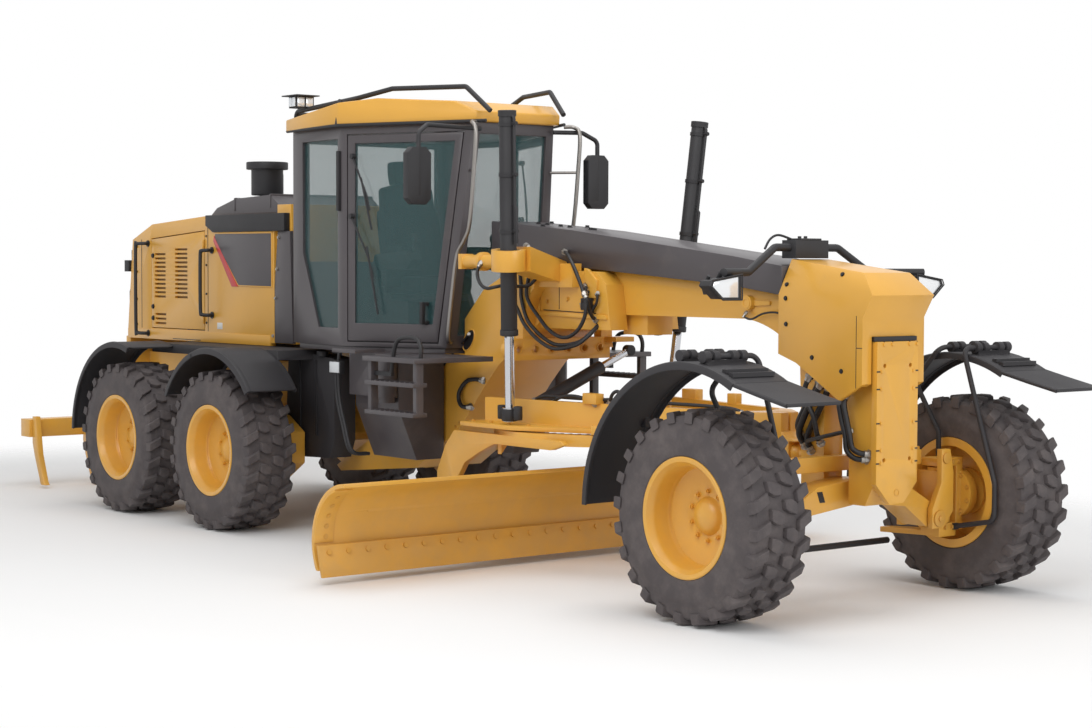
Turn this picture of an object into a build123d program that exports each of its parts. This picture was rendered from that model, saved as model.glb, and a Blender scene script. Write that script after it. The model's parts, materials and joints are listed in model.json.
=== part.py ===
"""Motor grader: articulated frame, leaning front wheels, turning blade and rear ripper.

Millimetres. +X is forward, +Y is the machine's left, +Z is up. Everything is drawn from
the front axle's middle on the ground and moved at the end, so that the origin lies under
the middle of the whole machine. Like pieces on the left and right come from one drawing.
"""
from build123d import *
from math import cos, hypot, radians, sin
import os

os.makedirs("parts", exist_ok=True)

# ---------------------------------------------------------------- overall and running gear
front_reach = 820          # front fender tip ahead of the front axle
rear_reach = 9310          # ripper's rear face behind the front axle
axle_height = 612
wheelbase = 6123           # front axle to the middle of the tandems
tandem_spacing = 1523      # between the two wheels of one tandem
tyre_radius = 612
tyre_width = 430
wheel_y = 1125             # wheel centre plane from the machine's middle
rim_width = 410
bead_radius = 305
flange_radius = 348
rim_thickness = 14
tread_pitches = 24
tread_depth = 26
disc_offset = 36           # wheel disc outboard of the wheel's centre plane
disc_thickness = 26
hub_radius = 150
hub_end = 75               # hub cap outboard of the wheel's centre plane
spindle_gap = 35           # spindle's end behind the hub cap
running_gap = 6            # clearance between pieces that move past each other
seat_gap = 0.3             # clearance between curved faces that sit on each other

# ---------------------------------------------------------------- front axle
kingpin_y = 820
lean_pivot_y = 660
lean_pivot_z = 480
lean_bar_z = 850
trunnion_z = 690
trunnion_radius = 50
axle_beam_half = 100       # half of the beam's thickness, fore and aft
pivot_pin_radius = 40
ear_thickness = 40
spindle_radius = 62
steer_arm_x = -300
steer_arm_y = 690

# ---------------------------------------------------------------- frames
beam_half_width = 150
beam_bottom_z = 1700
yoke_half_width = 300
hitch_x = -4900
hitch_pin_radius = 55
sheet = 30                 # bonnet sheet with its stiffeners
bumper_face_x = 390
bumper_bolt_y = 110        # tapped holes for a push block or front blade
bumper_bolt_z = (900, 1450)
bumper_bolt_radius = 13
bumper_bolt_depth = 60

# ---------------------------------------------------------------- drawbar, circle, blade
ball_x = -430
ball_z = 880
ball_radius = 60
ball_swing = 75            # half height of the socket's mouth
circle_x = -2250
circle_radius = 765
circle_bore = 640
circle_top_z = 925
circle_height = 75
circle_teeth = 64
tooth_height = 28
drawbar_plate_z = 935
drive_x = -1690            # middle of the housing that turns the circle
drawbar_top_z = 1125
blade_length = 4267
blade_bottom_z = 50
blade_bottom_x = -2506
blade_belly = (-2584, 336)
blade_top = (-2236, 642)
blade_thickness = 25
edge_height = 200
edge_thickness = 20
pitch_x = -2800
pitch_z = 330
bracket_y = 640

# ---------------------------------------------------------------- lift cylinders
lift_top = (-2252, 855, 3040)      # upper end of a barrel's axis: x, |y|, z
lift_foot = (-2401, 710, 990)     # lower end of a rod's axis
lift_barrel_bottom_z = 1560
lift_yoke_z = 2060
lift_barrel_radius = 55
lift_rod_radius = 32

link_bar_z = 1450
link_bar_ends = (-540, 380)        # right end, left end
link_hole_pitch = 145
link_hole_radius = 24
shift_foot = (-2530, -485, 1035)   # on the drawbar
shift_eye = (-2530, 450, 1430)     # on the end of the link bar

# ---------------------------------------------------------------- cab
cab_floor_z = 1430
cab_head_z = 3040
cab_rear_x = -5120
cab_rear_half = 720
post_b = (-4310, 800)              # widest posts, which carry the doors: x, |y|
post_a_half = 360                  # half width at the head of the windscreen
windscreen_foot_x = -3490
windscreen_head_x = -3280
cab_wall = 50
glass = 8
door_gap = 8
door_hinge_x = -4300              # hinge axis of the right-hand door, outside its rear edge
door_hinge_y = 800

# ---------------------------------------------------------------- bonnet and rear
hood_half_width = 550
hood_bottom_z = 1400
rail_half_width = 330
engine_door_hinge_x = -6806
engine_door_hinge_y = 556
hinge_barrel_radius = 10
ripper_pivot_x = 890 - rear_reach
ripper_pivot_z = 720
ripper_beam_x = 90 - rear_reach
ripper_beam_low_z = 450
ripper_beam_high_z = 610
ripper_half_width = 1050
ripper_cyl_x = ripper_pivot_x + 80
ripper_cyl_z = 1250
ripper_pin_x = ripper_beam_x + 220
ripper_pin_z = 690
tow_pin_radius = 22

front_to_origin = (rear_reach - front_reach) / 2
rear_axle_x = -wheelbase
wheel_places = [
    # name, x, side (+1 left)
    ("front_left", 0, 1),
    ("front_right", 0, -1),
    ("tandem_front_left", rear_axle_x + tandem_spacing / 2, 1),
    ("tandem_front_right", rear_axle_x + tandem_spacing / 2, -1),
    ("tandem_rear_left", rear_axle_x - tandem_spacing / 2, 1),
    ("tandem_rear_right", rear_axle_x - tandem_spacing / 2, -1),
]

nodes = {}


# ================================================================ helpers
def block(x0, x1, y0, y1, z0, z1):
    """A box from its low and high corners."""
    size = Box(x1 - x0, y1 - y0, z1 - z0)
    return Pos((x0 + x1) / 2, (y0 + y1) / 2, (z0 + z1) / 2) * size


def slab(points, travel):
    """A flat plate: a closed outline of 3-D points pushed along a vector."""
    wire = Wire.make_polygon([Vector(*p) for p in points], close=True)
    return Solid.extrude(Face(wire), Vector(*travel))


def side_plate(outline, y0, y1):
    """A plate seen from the side, its outline in X and Z."""
    return slab([(x, y0, z) for x, z in outline], (0, y1 - y0, 0))


def curved_side_plate(outline, y0, y1):
    """A plate seen from the side; a point with a third entry is the middle of an arc."""
    points = [(p[0], y0, p[1]) for p in outline]
    edges, index = [], 0
    while index < len(points):
        following = (index + 1) % len(points)
        last = (index + 2) % len(points)
        if len(outline[following]) == 3:
            edges.append(ThreePointArc(points[index], points[following], points[last]))
            index += 2
        else:
            edges.append(Line(points[index], points[following]))
            index += 1
    return Solid.extrude(Face(Wire(edges)), Vector(0, y1 - y0, 0))


def floor_plate(outline, z0, z1):
    """A plate seen from above, its outline in X and Y."""
    return slab([(x, y, z0) for x, y in outline], (0, 0, z1 - z0))


def front_plate_shape(outline, x0, x1):
    """A plate seen from the front, its outline in Y and Z."""
    return slab([(x0, y, z) for y, z in outline], (x1 - x0, 0, 0))


def rod(start, end, radius):
    """A round bar between two points."""
    start, end = Vector(*start), Vector(*end)
    along = end - start
    return Solid.make_cylinder(radius, along.length, Plane(origin=start, z_dir=along))


def ring(start, end, radius, bore):
    """A round tube between two points."""
    return rod(start, end, radius) - rod(start, end, bore)


def bent_tube(points, radius, bend):
    """A round tube along straight runs joined by arcs."""
    path = FilletPolyline(*points, radius=bend)
    start = path @ 0
    section = Plane(origin=start, z_dir=path % 0) * Circle(radius)
    return sweep(section, path)


def joined(*shapes):
    """One piece from several that overlap or touch."""
    flat = []
    for shape in shapes:
        flat.extend(shape if isinstance(shape, (list, tuple)) else [shape])
    return Part() + flat


def flipped(shape):
    """The same piece on the other side of the machine."""
    return mirror(shape, about=Plane.XZ)


def both(shape):
    """A piece and its mirror image."""
    return joined(shape, flipped(shape))


def keep(name, shape):
    nodes[name] = shape


def along(start, end, z):
    """The point of a straight line at height z."""
    share = (z - start[2]) / (end[2] - start[2])
    return tuple(s + (e - s) * share for s, e in zip(start, end))


# ================================================================ wheels
def turned(profile, x, side):
    """Revolve a profile of (radius, offset from the wheel's centre plane), outboard positive."""
    points = [(x, side * (wheel_y + offset), axle_height + radius) for radius, offset in profile]
    wire = Wire.make_polygon([Vector(*p) for p in points], close=True)
    axis = Axis((x, 0, axle_height), (0, 1, 0))
    return Solid.revolve(Face(wire), 360, axis)


carcass_section = [
    # radius at a facet's corner, offset from the middle plane
    (bead_radius + 4, rim_width / 2 - 20),
    ((tyre_radius - tread_depth - 4) / cos(radians(180 / tread_pitches)), tyre_width / 2 - 2),
]
lug_outline = [
    # round the tyre, across it: one slanting lug from the middle to the shoulder
    (-66, 8), (-12, 8), (66, tyre_width / 2 - 5), (10, tyre_width / 2 - 5),
]


def tyre():
    """A faceted carcass about the Y axis, with two staggered rows of slanting lugs."""
    step = 360 / tread_pitches
    section = carcass_section + [(r, -y) for r, y in reversed(carcass_section)]

    def corner(radius, y, index):
        turn = radians(step * (index + 0.5))
        return (radius * sin(turn), y, radius * cos(turn))

    faces = []
    for index in range(tread_pitches):
        for (r0, y0), (r1, y1) in zip(section, section[1:] + section[:1]):
            quad = [corner(r0, y0, index), corner(r1, y1, index),
                    corner(r1, y1, index + 1), corner(r0, y0, index + 1)]
            faces.append(Face(Wire.make_polygon([Vector(*p) for p in quad], close=True)))
    carcass = Solid(Shell(faces))
    lug = floor_plate(lug_outline, tyre_radius - 2 * tread_depth, tyre_radius)
    pair = [lug, Rot(0, 0, 180) * lug]
    return joined(carcass, [Rot(0, step * index, 0) * piece
                            for index in range(tread_pitches) for piece in pair])


rim_well = bead_radius - rim_thickness
rim_edge = rim_width / 2
rim_profile = [
    # radius, offset from the wheel's centre plane: inner flange, disc, hub, cap, dish, outer flange
    (bead_radius, rim_thickness - rim_edge),
    (flange_radius, rim_thickness - rim_edge),
    (flange_radius, -rim_edge),
    (rim_well, -rim_edge),
    (rim_well, disc_offset - 2 * disc_thickness),
    (hub_radius, disc_offset - 2 * disc_thickness),
    (hub_radius, disc_offset - 90),
    (spindle_radius + running_gap, disc_offset - 90),
    (spindle_radius + running_gap, hub_end - 25),
    (0, hub_end - 25),
    (0, hub_end),
    (hub_radius / 2, hub_end),
    (hub_radius - 42, hub_end - 30),
    (hub_radius - 42, disc_offset - disc_thickness),
    (hub_radius + 50, disc_offset - disc_thickness),
    (rim_well - 30, disc_offset),
    (rim_well, disc_offset),
    (rim_well, rim_edge),
    (flange_radius, rim_edge),
    (flange_radius, rim_edge - rim_thickness),
    (bead_radius, rim_edge - rim_thickness),
]

one_tyre = tyre()
for name, wheel_x, side in wheel_places:
    keep("tyre_" + name, Pos(wheel_x, side * wheel_y, axle_height) * one_tyre)
    keep("rim_" + name, turned(rim_profile, wheel_x, side))


# ================================================================ front axle
def axle_beam():
    """The arched beam between the leaning yokes, with its middle trunnion."""
    arch = [(-720, 440), (-720, 530), (-600, 600), (-360, 730), (0, 765),
            (360, 730), (600, 600), (720, 530), (720, 440), (600, 430),
            (400, 570), (0, 615), (-400, 570), (-600, 430)]
    beam = front_plate_shape(arch, -axle_beam_half, axle_beam_half)
    for side in (-1, 1):
        y = side * lean_pivot_y
        bore = rod((-200, y, lean_pivot_z), (200, y, lean_pivot_z), pivot_pin_radius + seat_gap)
        beam = beam - bore
    return beam - rod((-200, 0, trunnion_z), (200, 0, trunnion_z), trunnion_radius + seat_gap)


def lean_yoke():
    """Left yoke: ears round the beam's end, the sleeve of the kingpin and the lean lug."""
    ear_in = axle_beam_half + running_gap
    ear_out = ear_in + ear_thickness
    ear = [(600, 420), (600, 540), (680, 700), (680, 905), (760, 905), (790, 760),
           (790, 520), (740, 460), (700, 420)]
    ears = [front_plate_shape(ear, ear_in, ear_out), front_plate_shape(ear, -ear_out, -ear_in)]
    web = block(-ear_in, ear_in, 740, 790, 440, 760)
    sleeve = rod((0, kingpin_y, 440), (0, kingpin_y, 780), 72)
    pin = rod((-ear_out, lean_pivot_y, lean_pivot_z), (ear_out, lean_pivot_y, lean_pivot_z),
              pivot_pin_radius)
    bore = rod((0, kingpin_y, 400), (0, kingpin_y, 820), 38 + seat_gap)
    return joined(ears, web, sleeve, pin) - bore


def knuckle():
    """Left knuckle: fork, kingpin, spindle, drive motor case and steering arm."""
    upper = block(-75, 75, 745, 960, 788, 840)
    lower = block(-75, 75, 745, 960, 384, 432)
    web = block(-75, 75, 900, 960, 384, 840)
    kingpin = rod((0, kingpin_y, 384), (0, kingpin_y, 840), 38)
    spindle = rod((0, 930, axle_height), (0, wheel_y + hub_end - spindle_gap, axle_height),
                  spindle_radius)
    case = [rod((0, 935, axle_height), (0, 1000, axle_height), 160),
            rod((0, 995, axle_height), (0, 1030, axle_height), 130),
            rod((0, 995, axle_height), (0, 1058, axle_height), 105)]
    arm = slab([(-75, 745, 384), (steer_arm_x - 40, steer_arm_y - 30, 384),
                (steer_arm_x - 40, steer_arm_y + 40, 384), (-75, 900, 384)], (0, 0, -34))
    foot = block(-75, 75, 745, 900, 350, 384)
    return joined(upper, lower, web, kingpin, spindle, case, arm, foot)


keep("axle_beam", axle_beam())
keep("lean_yoke_left", lean_yoke())
keep("lean_yoke_right", flipped(lean_yoke()))
keep("knuckle_left", knuckle())
keep("knuckle_right", flipped(knuckle()))
keep("lean_bar", block(-axle_beam_half + 10, -10, -670, 670, lean_bar_z - 45, lean_bar_z + 45))
keep("tie_rod", rod((steer_arm_x, -steer_arm_y, 300), (steer_arm_x, steer_arm_y, 300), 20))

# ---------------------------------------------------------------- front fenders
fender_inner_y = 925
fender_outer_y = 1335
fender_radius = 880
fender_sheet = 14


def arc_band(centre_x, radius, start_deg, end_deg, y0, y1, thickness):
    """A strip rolled round a wheel: angles from straight ahead, over the top, to the rear."""
    def spot(r, angle):
        a = radians(angle)
        return (centre_x + r * cos(a), y0, axle_height + r * sin(a))
    middle = (start_deg + end_deg) / 2
    outer, inner = radius, radius - thickness
    edges = [
        ThreePointArc(spot(outer, start_deg), spot(outer, middle), spot(outer, end_deg)),
        Line(spot(outer, end_deg), spot(inner, end_deg)),
        ThreePointArc(spot(inner, end_deg), spot(inner, middle), spot(inner, start_deg)),
        Line(spot(inner, start_deg), spot(outer, start_deg)),
    ]
    return Solid.extrude(Face(Wire(edges)), Vector(0, y1 - y0, 0))


def front_fender():
    """Left front fender: rolled strip, flat tip, and the tubes that carry it."""
    strip = arc_band(0, fender_radius, 62, 180, fender_inner_y, fender_outer_y, fender_sheet)
    tip_x = fender_radius * cos(radians(62))
    tip_z = axle_height + fender_radius * sin(radians(62))
    tip = side_plate([(tip_x - 5, tip_z), (front_reach, tip_z - 90), (front_reach, tip_z - 104),
                      (tip_x - 5, tip_z - fender_sheet - 2)], fender_inner_y, fender_outer_y)
    rail_z = axle_height + fender_radius + 30
    rail = [bent_tube([(85, 885, 410), (390, 885, 470), (390, 885, 700), (130, 885, rail_z),
                       (130, 1300, rail_z)], 16, 60),
            bent_tube([(-60, 885, 840), (-60, 885, 990), (-260, 885, 1300), (-60, 885, rail_z),
                       (-60, 1300, rail_z)], 16, 60),
            block(75, 95, 865, 905, 390, 430)]
    crown_z = axle_height + fender_radius
    clamps = []
    for x in (-60, 130):
        for y in (1010, 1080, 1220, 1290):
            clamps.append(rod((x, y - 22, rail_z), (x, y + 22, rail_z), 34))
        clamps.append(block(x - 28, x + 28, 1000, 1300, crown_z - 34, crown_z + 12))
    return joined(strip, tip, rail, clamps)


keep("front_fender_left", front_fender())
keep("front_fender_right", flipped(front_fender()))


# ================================================================ front frame
def hitch_ball(radius, flat):
    """The ball that the drawbar hangs on, with a small flat on its nose."""
    ball = Pos(ball_x, 0, ball_z) * Rot(0, 90, 0) * Sphere(radius)
    nose = ball_x - radius + flat
    return ball - block(nose - radius, nose, -radius, radius, ball_z - radius, ball_z + radius)


def front_frame():
    """Swan-neck beam, nose leg with its bumper plate, sloping rear yoke and hitch forks."""
    beam = curved_side_plate(
        [(-2800, 2050), (-2300, 2010), (-770, 1900), (-300, 1840), (320, 1700), (320, 1600),
         (350, 1590), (350, 760), (280, 625), (150, 625), (150, 900), (120, 1270),
         (-170, 1375), (-395, 1585, "arc"), (-730, beam_bottom_z), (-2110, beam_bottom_z),
         (-2700, 1640)], -beam_half_width, beam_half_width)
    under_box = block(-1940, -1700, -110, 110, 1570, beam_bottom_z + 10)
    boss = rod((-690, -beam_half_width - 40, 1799), (-690, beam_half_width + 40, 1799), 46)
    boss_link = side_plate([(-690, 1780), (-690, 1818), (-510, 1812), (-510, 1788)],
                           -beam_half_width - 14, beam_half_width + 14)

    bumper = front_plate_shape([(-176, 1590), (176, 1590), (176, 760), (60, 640), (-60, 640),
                                (-176, 760)], 350, bumper_face_x)
    rear_leg = side_plate(
        [(-330, 1500), (-120, 1440), (-120, 640), (-200, 620), (-310, 680), (-310, 1000)],
        -80, 80)
    trunnion = rod((-300, 0, trunnion_z), (300, 0, trunnion_z), trunnion_radius)
    ball = hitch_ball(ball_radius, 2)
    ball_stem = rod((-300, 0, ball_z), (ball_x + 20, 0, ball_z), 32)
    yoke = side_plate(
        [(-2800, 2050), (-2600, 1980), (-2600, 1640), (-3060, 1330), (-3220, 1180),
         (-3520, 860), (-3740, 720), (-4080, 520), (-5100, 420), (-5160, 460), (-4700, 690),
         (-4020, 1010), (-3680, 1385), (-3470, 1385), (-3470, 1640), (-3250, 1850)],
        -yoke_half_width, yoke_half_width)
    top_arm = side_plate(
        [(-3500, 1390), (-5080, 1390), (-5080, 1270), (-4560, 1240), (-3900, 1100),
         (-3600, 1300)], -yoke_half_width, yoke_half_width)
    hitch_pin = rod((hitch_x, 0, 440), (hitch_x, 0, 1390), hitch_pin_radius)
    frame = joined(beam, under_box, boss, boss_link, bumper, rear_leg, trunnion, ball, ball_stem,
                   yoke, top_arm, hitch_pin)
    for y in (-bumper_bolt_y, bumper_bolt_y):
        for z in bumper_bolt_z:
            frame = frame - rod((bumper_face_x - bumper_bolt_depth, y, z), (bumper_face_x + 10, y, z),
                                bumper_bolt_radius)
    return frame


def nose_cover():
    """Faceted shell over the nose."""
    half = 265
    outline = [(-330, 1845), (-330, 1500), (-180, 1450), (175, 1240), (355, 1345), (355, 1730),
               (430, 1860), (300, 1990), (-330, 2070)]
    outer = side_plate(outline, -half, half)
    facets = front_plate_shape([(-270, 1100), (270, 1100), (270, 1850), (150, 2080), (-150, 2080),
                                (-270, 1850)], -600, 600)
    inside = side_plate([(-400, 1880), (-400, 1150), (325, 1150), (325, 1712), (380, 1850),
                         (290, 1955), (-400, 2050)], -half + sheet, half - sheet)
    inner_facets = front_plate_shape([(-270, 1100), (270, 1100), (270, 1835), (140, 2045),
                                      (-140, 2045), (-270, 1835)], -600, 600)
    slot = block(300, 500, -186, 186, 1100, 1620)
    return (outer & facets) - (inside & inner_facets) - slot


def beam_cover():
    """Dark channel over the hoses on the beam."""
    outline = [(-3250, 2340), (-2330, 2265), (-1550, 2180), (-770, 2090), (-340, 2030),
               (-340, 1850), (-770, 1905), (-2300, 2015), (-2800, 2060), (-3250, 2100)]
    outer = side_plate(outline, -230, 230)
    return outer - side_plate([(-3250, 2055), (-2800, 2055), (-2300, 2012), (-770, 1902),
                               (-340, 1846), (-340, 1800), (-3250, 1800)], -230, 230)


keep("front_frame", front_frame())
keep("nose_cover", nose_cover())
keep("beam_cover", beam_cover())


def axis_lean():
    """Unit vector up a left lift cylinder."""
    step = Vector(*lift_top) - Vector(*lift_foot)
    return step.normalized()


def lift_saddle():
    """Saddle over the beam with two arms, each ending in the collar of a lift cylinder."""
    saddle = side_plate([(-2590, 1600), (-2590, 2000), (-2000, 1985), (-1900, 1900),
                         (-1850, 1600)], -yoke_half_width, yoke_half_width)
    saddle = saddle - side_plate([(-3000, 1500), (-3000, 2100), (-1500, 2100), (-1500, 1500)],
                                 -beam_half_width - 1, beam_half_width + 1)
    centre = along(lift_foot, lift_top, lift_yoke_z)
    root_y, tip_y = yoke_half_width - 20, centre[1] - 90
    arm = slab([(-2570, root_y, 1900), (-2570, root_y, 2050), (-2440, tip_y, 2150),
                (-2440, tip_y, 1985)], (centre[0] + 2560, 0, 0))
    arm_root = block(-2590, -2180, root_y, yoke_half_width + 60, 1880, 2040)
    lock = [rod((-2990, 660, 2052), (-2430, 660, 2052), 46),
            rod((-2790, 660, 2052), (-2745, 660, 2052), 64),
            block(-2990, -2950, 610, 710, 2000, 2104)]
    swivel = rod((-2510, root_y - 30, 2012), (-2510, yoke_half_width + 95, 2012), 68)
    up = axis_lean()
    low = Vector(*centre) - up * 70
    high = Vector(*centre) + up * 70
    collar = ring(tuple(low), tuple(high), lift_barrel_radius + 60, lift_barrel_radius + 22)
    post = curved_side_plate([(-2745, link_bar_z), (-2760, 1720, "arc"), (-2840, 1960),
                              (-2540, 1960), (-2540, 1880), (-2640, 1700, "arc"),
                              (-2650, link_bar_z)], yoke_half_width, 400)
    right_end, left_end = link_bar_ends
    bar = joined(block(-2730, -2660, right_end + 75, left_end, link_bar_z - 75, link_bar_z + 75),
                 rod((-2730, right_end + 75, link_bar_z), (-2660, right_end + 75, link_bar_z), 75))
    for hole in range(-3, 3):
        y = hole * link_hole_pitch
        bar = bar - rod((-2800, y, link_bar_z), (-2600, y, link_bar_z), link_hole_radius)
    return joined(both(joined(arm, arm_root, lock, swivel, collar, post)), saddle, bar)


keep("lift_saddle", lift_saddle())


# ================================================================ lift cylinders
def lift_barrel():
    bottom = along(lift_foot, lift_top, lift_barrel_bottom_z)
    barrel = rod(bottom, lift_top, lift_barrel_radius)
    up = axis_lean()
    bore_end = Vector(*lift_top) - up * 60
    barrel = barrel - rod(tuple(Vector(*bottom) - up), tuple(bore_end), lift_rod_radius + 1)
    centre = along(lift_foot, lift_top, lift_yoke_z)
    band = ring(tuple(Vector(*centre) - up * 55), tuple(Vector(*centre) + up * 55),
                lift_barrel_radius + 16, lift_barrel_radius - 5)
    return joined(barrel, band)


def lift_rod():
    up = axis_lean()
    inner_end = Vector(*lift_foot) + up * 1100
    stem = rod(lift_foot, tuple(inner_end), lift_rod_radius)
    cap = rod(lift_foot, tuple(Vector(*lift_foot) + up * 90), 52)
    return joined(stem, cap)


keep("lift_cylinders", both(lift_barrel()))
keep("lift_rod_left", lift_rod())
keep("lift_rod_right", flipped(lift_rod()))


# ================================================================ drawbar, circle and blade
def drawbar():
    """A-frame from the ball socket to the deck over the circle."""
    leg = floor_plate([(ball_x - 60, 10), (ball_x - 60, 75), (-700, 230), (-2800, 620),
                       (-2800, 575), (-760, 190), (-700, 10)], drawbar_plate_z, drawbar_top_z)
    deck = floor_plate([(-1500, -420), (-2300, -790), (-2860, -790), (-2860, 790), (-2300, 790),
                        (-1500, 420)], drawbar_plate_z, drawbar_plate_z + 30)
    window = rod((circle_x, 0, 800), (circle_x, 0, 1200), 380)
    nose = side_plate([(ball_x, ball_z + 95), (ball_x - 250, drawbar_top_z - 10),
                       (-700, drawbar_top_z - 10), (-700, drawbar_plate_z),
                       (ball_x - 60, ball_z - 90), (ball_x, ball_z - 95)], -75, 75)
    socket = rod((ball_x, -75, ball_z), (ball_x, 75, ball_z), 95)
    drive = [rod((drive_x, 0, drawbar_plate_z), (drive_x, 0, 1075), 130),
             rod((drive_x, 0, 1060), (drive_x, 0, 1190), 72)]
    shoes = [Pos(circle_x, 0, 0) * Rot(0, 0, turn)
             * block(circle_radius - 60, circle_radius + 45, -70, 70, drawbar_plate_z, 990)
             for turn in (42, 138)]
    cavity = hitch_ball(ball_radius + 1, 0.5)
    mouth = block(ball_x + 5, ball_x + 120, -80, 80, ball_z - ball_swing, ball_z + ball_swing)
    piece = joined(both(joined(leg, shoes)), deck - window, nose, socket, drive)
    return piece - cavity - mouth


keep("drawbar", drawbar())


def blade_arc(offset):
    """Three points of the blade's section, set back by a distance."""
    (x1, z1), (x2, z2), (x3, z3) = (blade_bottom_x, blade_bottom_z), blade_belly, blade_top
    d = 2 * (x1 * (z2 - z3) + x2 * (z3 - z1) + x3 * (z1 - z2))
    s1, s2, s3 = x1 * x1 + z1 * z1, x2 * x2 + z2 * z2, x3 * x3 + z3 * z3
    cx = (s1 * (z2 - z3) + s2 * (z3 - z1) + s3 * (z1 - z2)) / d
    cz = (s1 * (x3 - x2) + s2 * (x1 - x3) + s3 * (x2 - x1)) / d
    radius = hypot(x1 - cx, z1 - cz)
    share = (radius + offset) / radius
    return [(cx + (x - cx) * share, cz + (z - cz) * share)
            for x, z in ((x1, z1), (x2, z2), (x3, z3))]


def rolled_plate(near, far, y0, y1):
    """A curved plate between two arcs of three points each, along the blade."""
    a = [(x, y0, z) for x, z in near]
    b = [(x, y0, z) for x, z in far]
    wire = Wire([ThreePointArc(*a), Line(a[2], b[2]), ThreePointArc(b[2], b[1], b[0]),
                 Line(b[0], a[0])])
    return Solid.extrude(Face(wire), Vector(0, y1 - y0, 0))


def moldboard():
    """Rolled blade plate with the two slide rails on its back."""
    board = rolled_plate(blade_arc(0), blade_arc(blade_thickness), -blade_length / 2,
                         blade_length / 2)
    board = board - block(-2700, -2400, -3000, 3000, 0, blade_bottom_z + 40)
    rails = [block(-2700, -2595, -1750, 1750, 180, 240), block(-2700, -2545, -1750, 1750, 440, 500)]
    return joined(board, rails)


def cutting_edges():
    (x0, z0), (x1, z1), (x2, z2) = blade_arc(0)
    lean = (x1 - x0) / (z1 - z0)
    top_x = x0 + lean * edge_height
    outline = [(x0, z0), (x0 + edge_thickness, z0), (top_x + edge_thickness, z0 + edge_height),
               (top_x, z0 + edge_height)]
    return side_plate(outline, -blade_length / 2, blade_length / 2)


def toothed_bore(low_z, high_z):
    """What is cut out of the circle's bore: a disc with a notch between each two teeth."""
    points = []
    for tooth in range(circle_teeth):
        # share of a tooth's pitch, radius
        for share, radius in ((-0.5, circle_bore), (-0.28, circle_bore),
                              (-0.14, circle_bore - tooth_height),
                              (0.14, circle_bore - tooth_height), (0.28, circle_bore)):
            turn = radians(360 * (tooth + share) / circle_teeth)
            points.append((circle_x + radius * cos(turn), radius * sin(turn)))
    return floor_plate(points, low_z, high_z)


def circle_piece():
    """Ring with teeth on its inside and the two hooked arms that carry the blade."""
    low_z = circle_top_z - circle_height
    hoop = rod((circle_x, 0, low_z), (circle_x, 0, circle_top_z), circle_radius)
    hoop = hoop - toothed_bore(low_z - 10, circle_top_z + 10)
    arm = side_plate(
        [(-1770, 870), (-1900, 830), (-2510, 830), (-2680, 760), (-2840, 680), (-2930, 560),
         (-2950, 470), (-2880, 420), (-2750, 400), (-2740, 270), (-2900, 280), (-3080, 360),
         (-3160, 480), (-3160, 600), (-3060, 790), (-2960, 895), (-1800, 895)],
        720, 765)
    gusset = front_plate_shape([(640, low_z + 5), (722, low_z + 5), (722, 760)], -2520, -2480)
    boss = rod((pitch_x, 700, pitch_z), (pitch_x, 785, pitch_z), 62)
    return joined(both(joined(arm, gusset, boss)), hoop)


def blade_bracket():
    """Tilting frame that carries the blade's slides, with the side-shift cylinder."""
    cheek = side_plate([(pitch_x - 60, pitch_z - 60), (pitch_x - 60, pitch_z + 60), (-2740, 520),
                        (-2705, 520), (-2705, 170), (-2740, 170)], bracket_y - 40, bracket_y + 40)
    bar = block(-2790, -2720, -bracket_y, bracket_y, 290, 370)
    return joined(both(cheek), bar)


keep("circle", circle_piece())
keep("moldboard", moldboard())
keep("cutting_edge", cutting_edges())
keep("blade_bracket", blade_bracket())


# ================================================================ cab
post_b_x, post_b_half = post_b
door_run = Vector(windscreen_head_x - post_b_x, post_b_half - post_a_half, 0)
door_along = door_run.normalized()
door_out = Vector(door_along.Y, -door_along.X, 0)
door_plane = Plane(origin=(post_b_x, -post_b_half, 0), x_dir=door_along, z_dir=door_out)


def cab_body(inset, floor_z, head_z):
    """The cab's outside, or its inside when it is drawn inset by a wall."""
    tip_x = -3000
    slope = door_run.Y / door_run.X
    rear = cab_rear_x + inset
    side_shift = inset
    plan = [(rear, -cab_rear_half + side_shift), (post_b_x, -post_b_half + side_shift),
            (tip_x, -post_b_half + side_shift + slope * (tip_x - post_b_x)),
            (tip_x, post_b_half - side_shift - slope * (tip_x - post_b_x)),
            (post_b_x, post_b_half - side_shift), (rear, cab_rear_half - side_shift)]
    rake = (windscreen_head_x - windscreen_foot_x) / (cab_head_z - cab_floor_z)
    foot = windscreen_foot_x - inset + rake * (floor_z - cab_floor_z)
    head = windscreen_foot_x - inset + rake * (head_z - cab_floor_z)
    profile = [(-6000, floor_z), (foot, floor_z), (head, head_z), (-6000, head_z)]
    return floor_plate(plan, floor_z, head_z) & side_plate(profile, -1500, 1500)


def post_a_run(z):
    """Distance along the door from the B post to the front of the A post at height z."""
    rake = (windscreen_head_x - windscreen_foot_x) / (cab_head_z - cab_floor_z)
    x = windscreen_foot_x + rake * (z - cab_floor_z)
    return (x - post_b_x) / door_along.X


def door_outline(low_z, high_z, rear_run, front_inset):
    return [(rear_run, low_z), (post_a_run(low_z) - front_inset, low_z),
            (post_a_run(high_z) - front_inset, high_z), (rear_run, high_z)]


def door_slab(outline, depth_out, depth_in):
    """A plate in the right-hand door's plane, between two depths behind its outer face."""
    points = [door_plane.from_local_coords(Vector(u, z, -depth_out)) for u, z in outline]
    wire = Wire.make_polygon(points, close=True)
    return Solid.extrude(Face(wire), door_out * (depth_out - depth_in))


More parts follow.
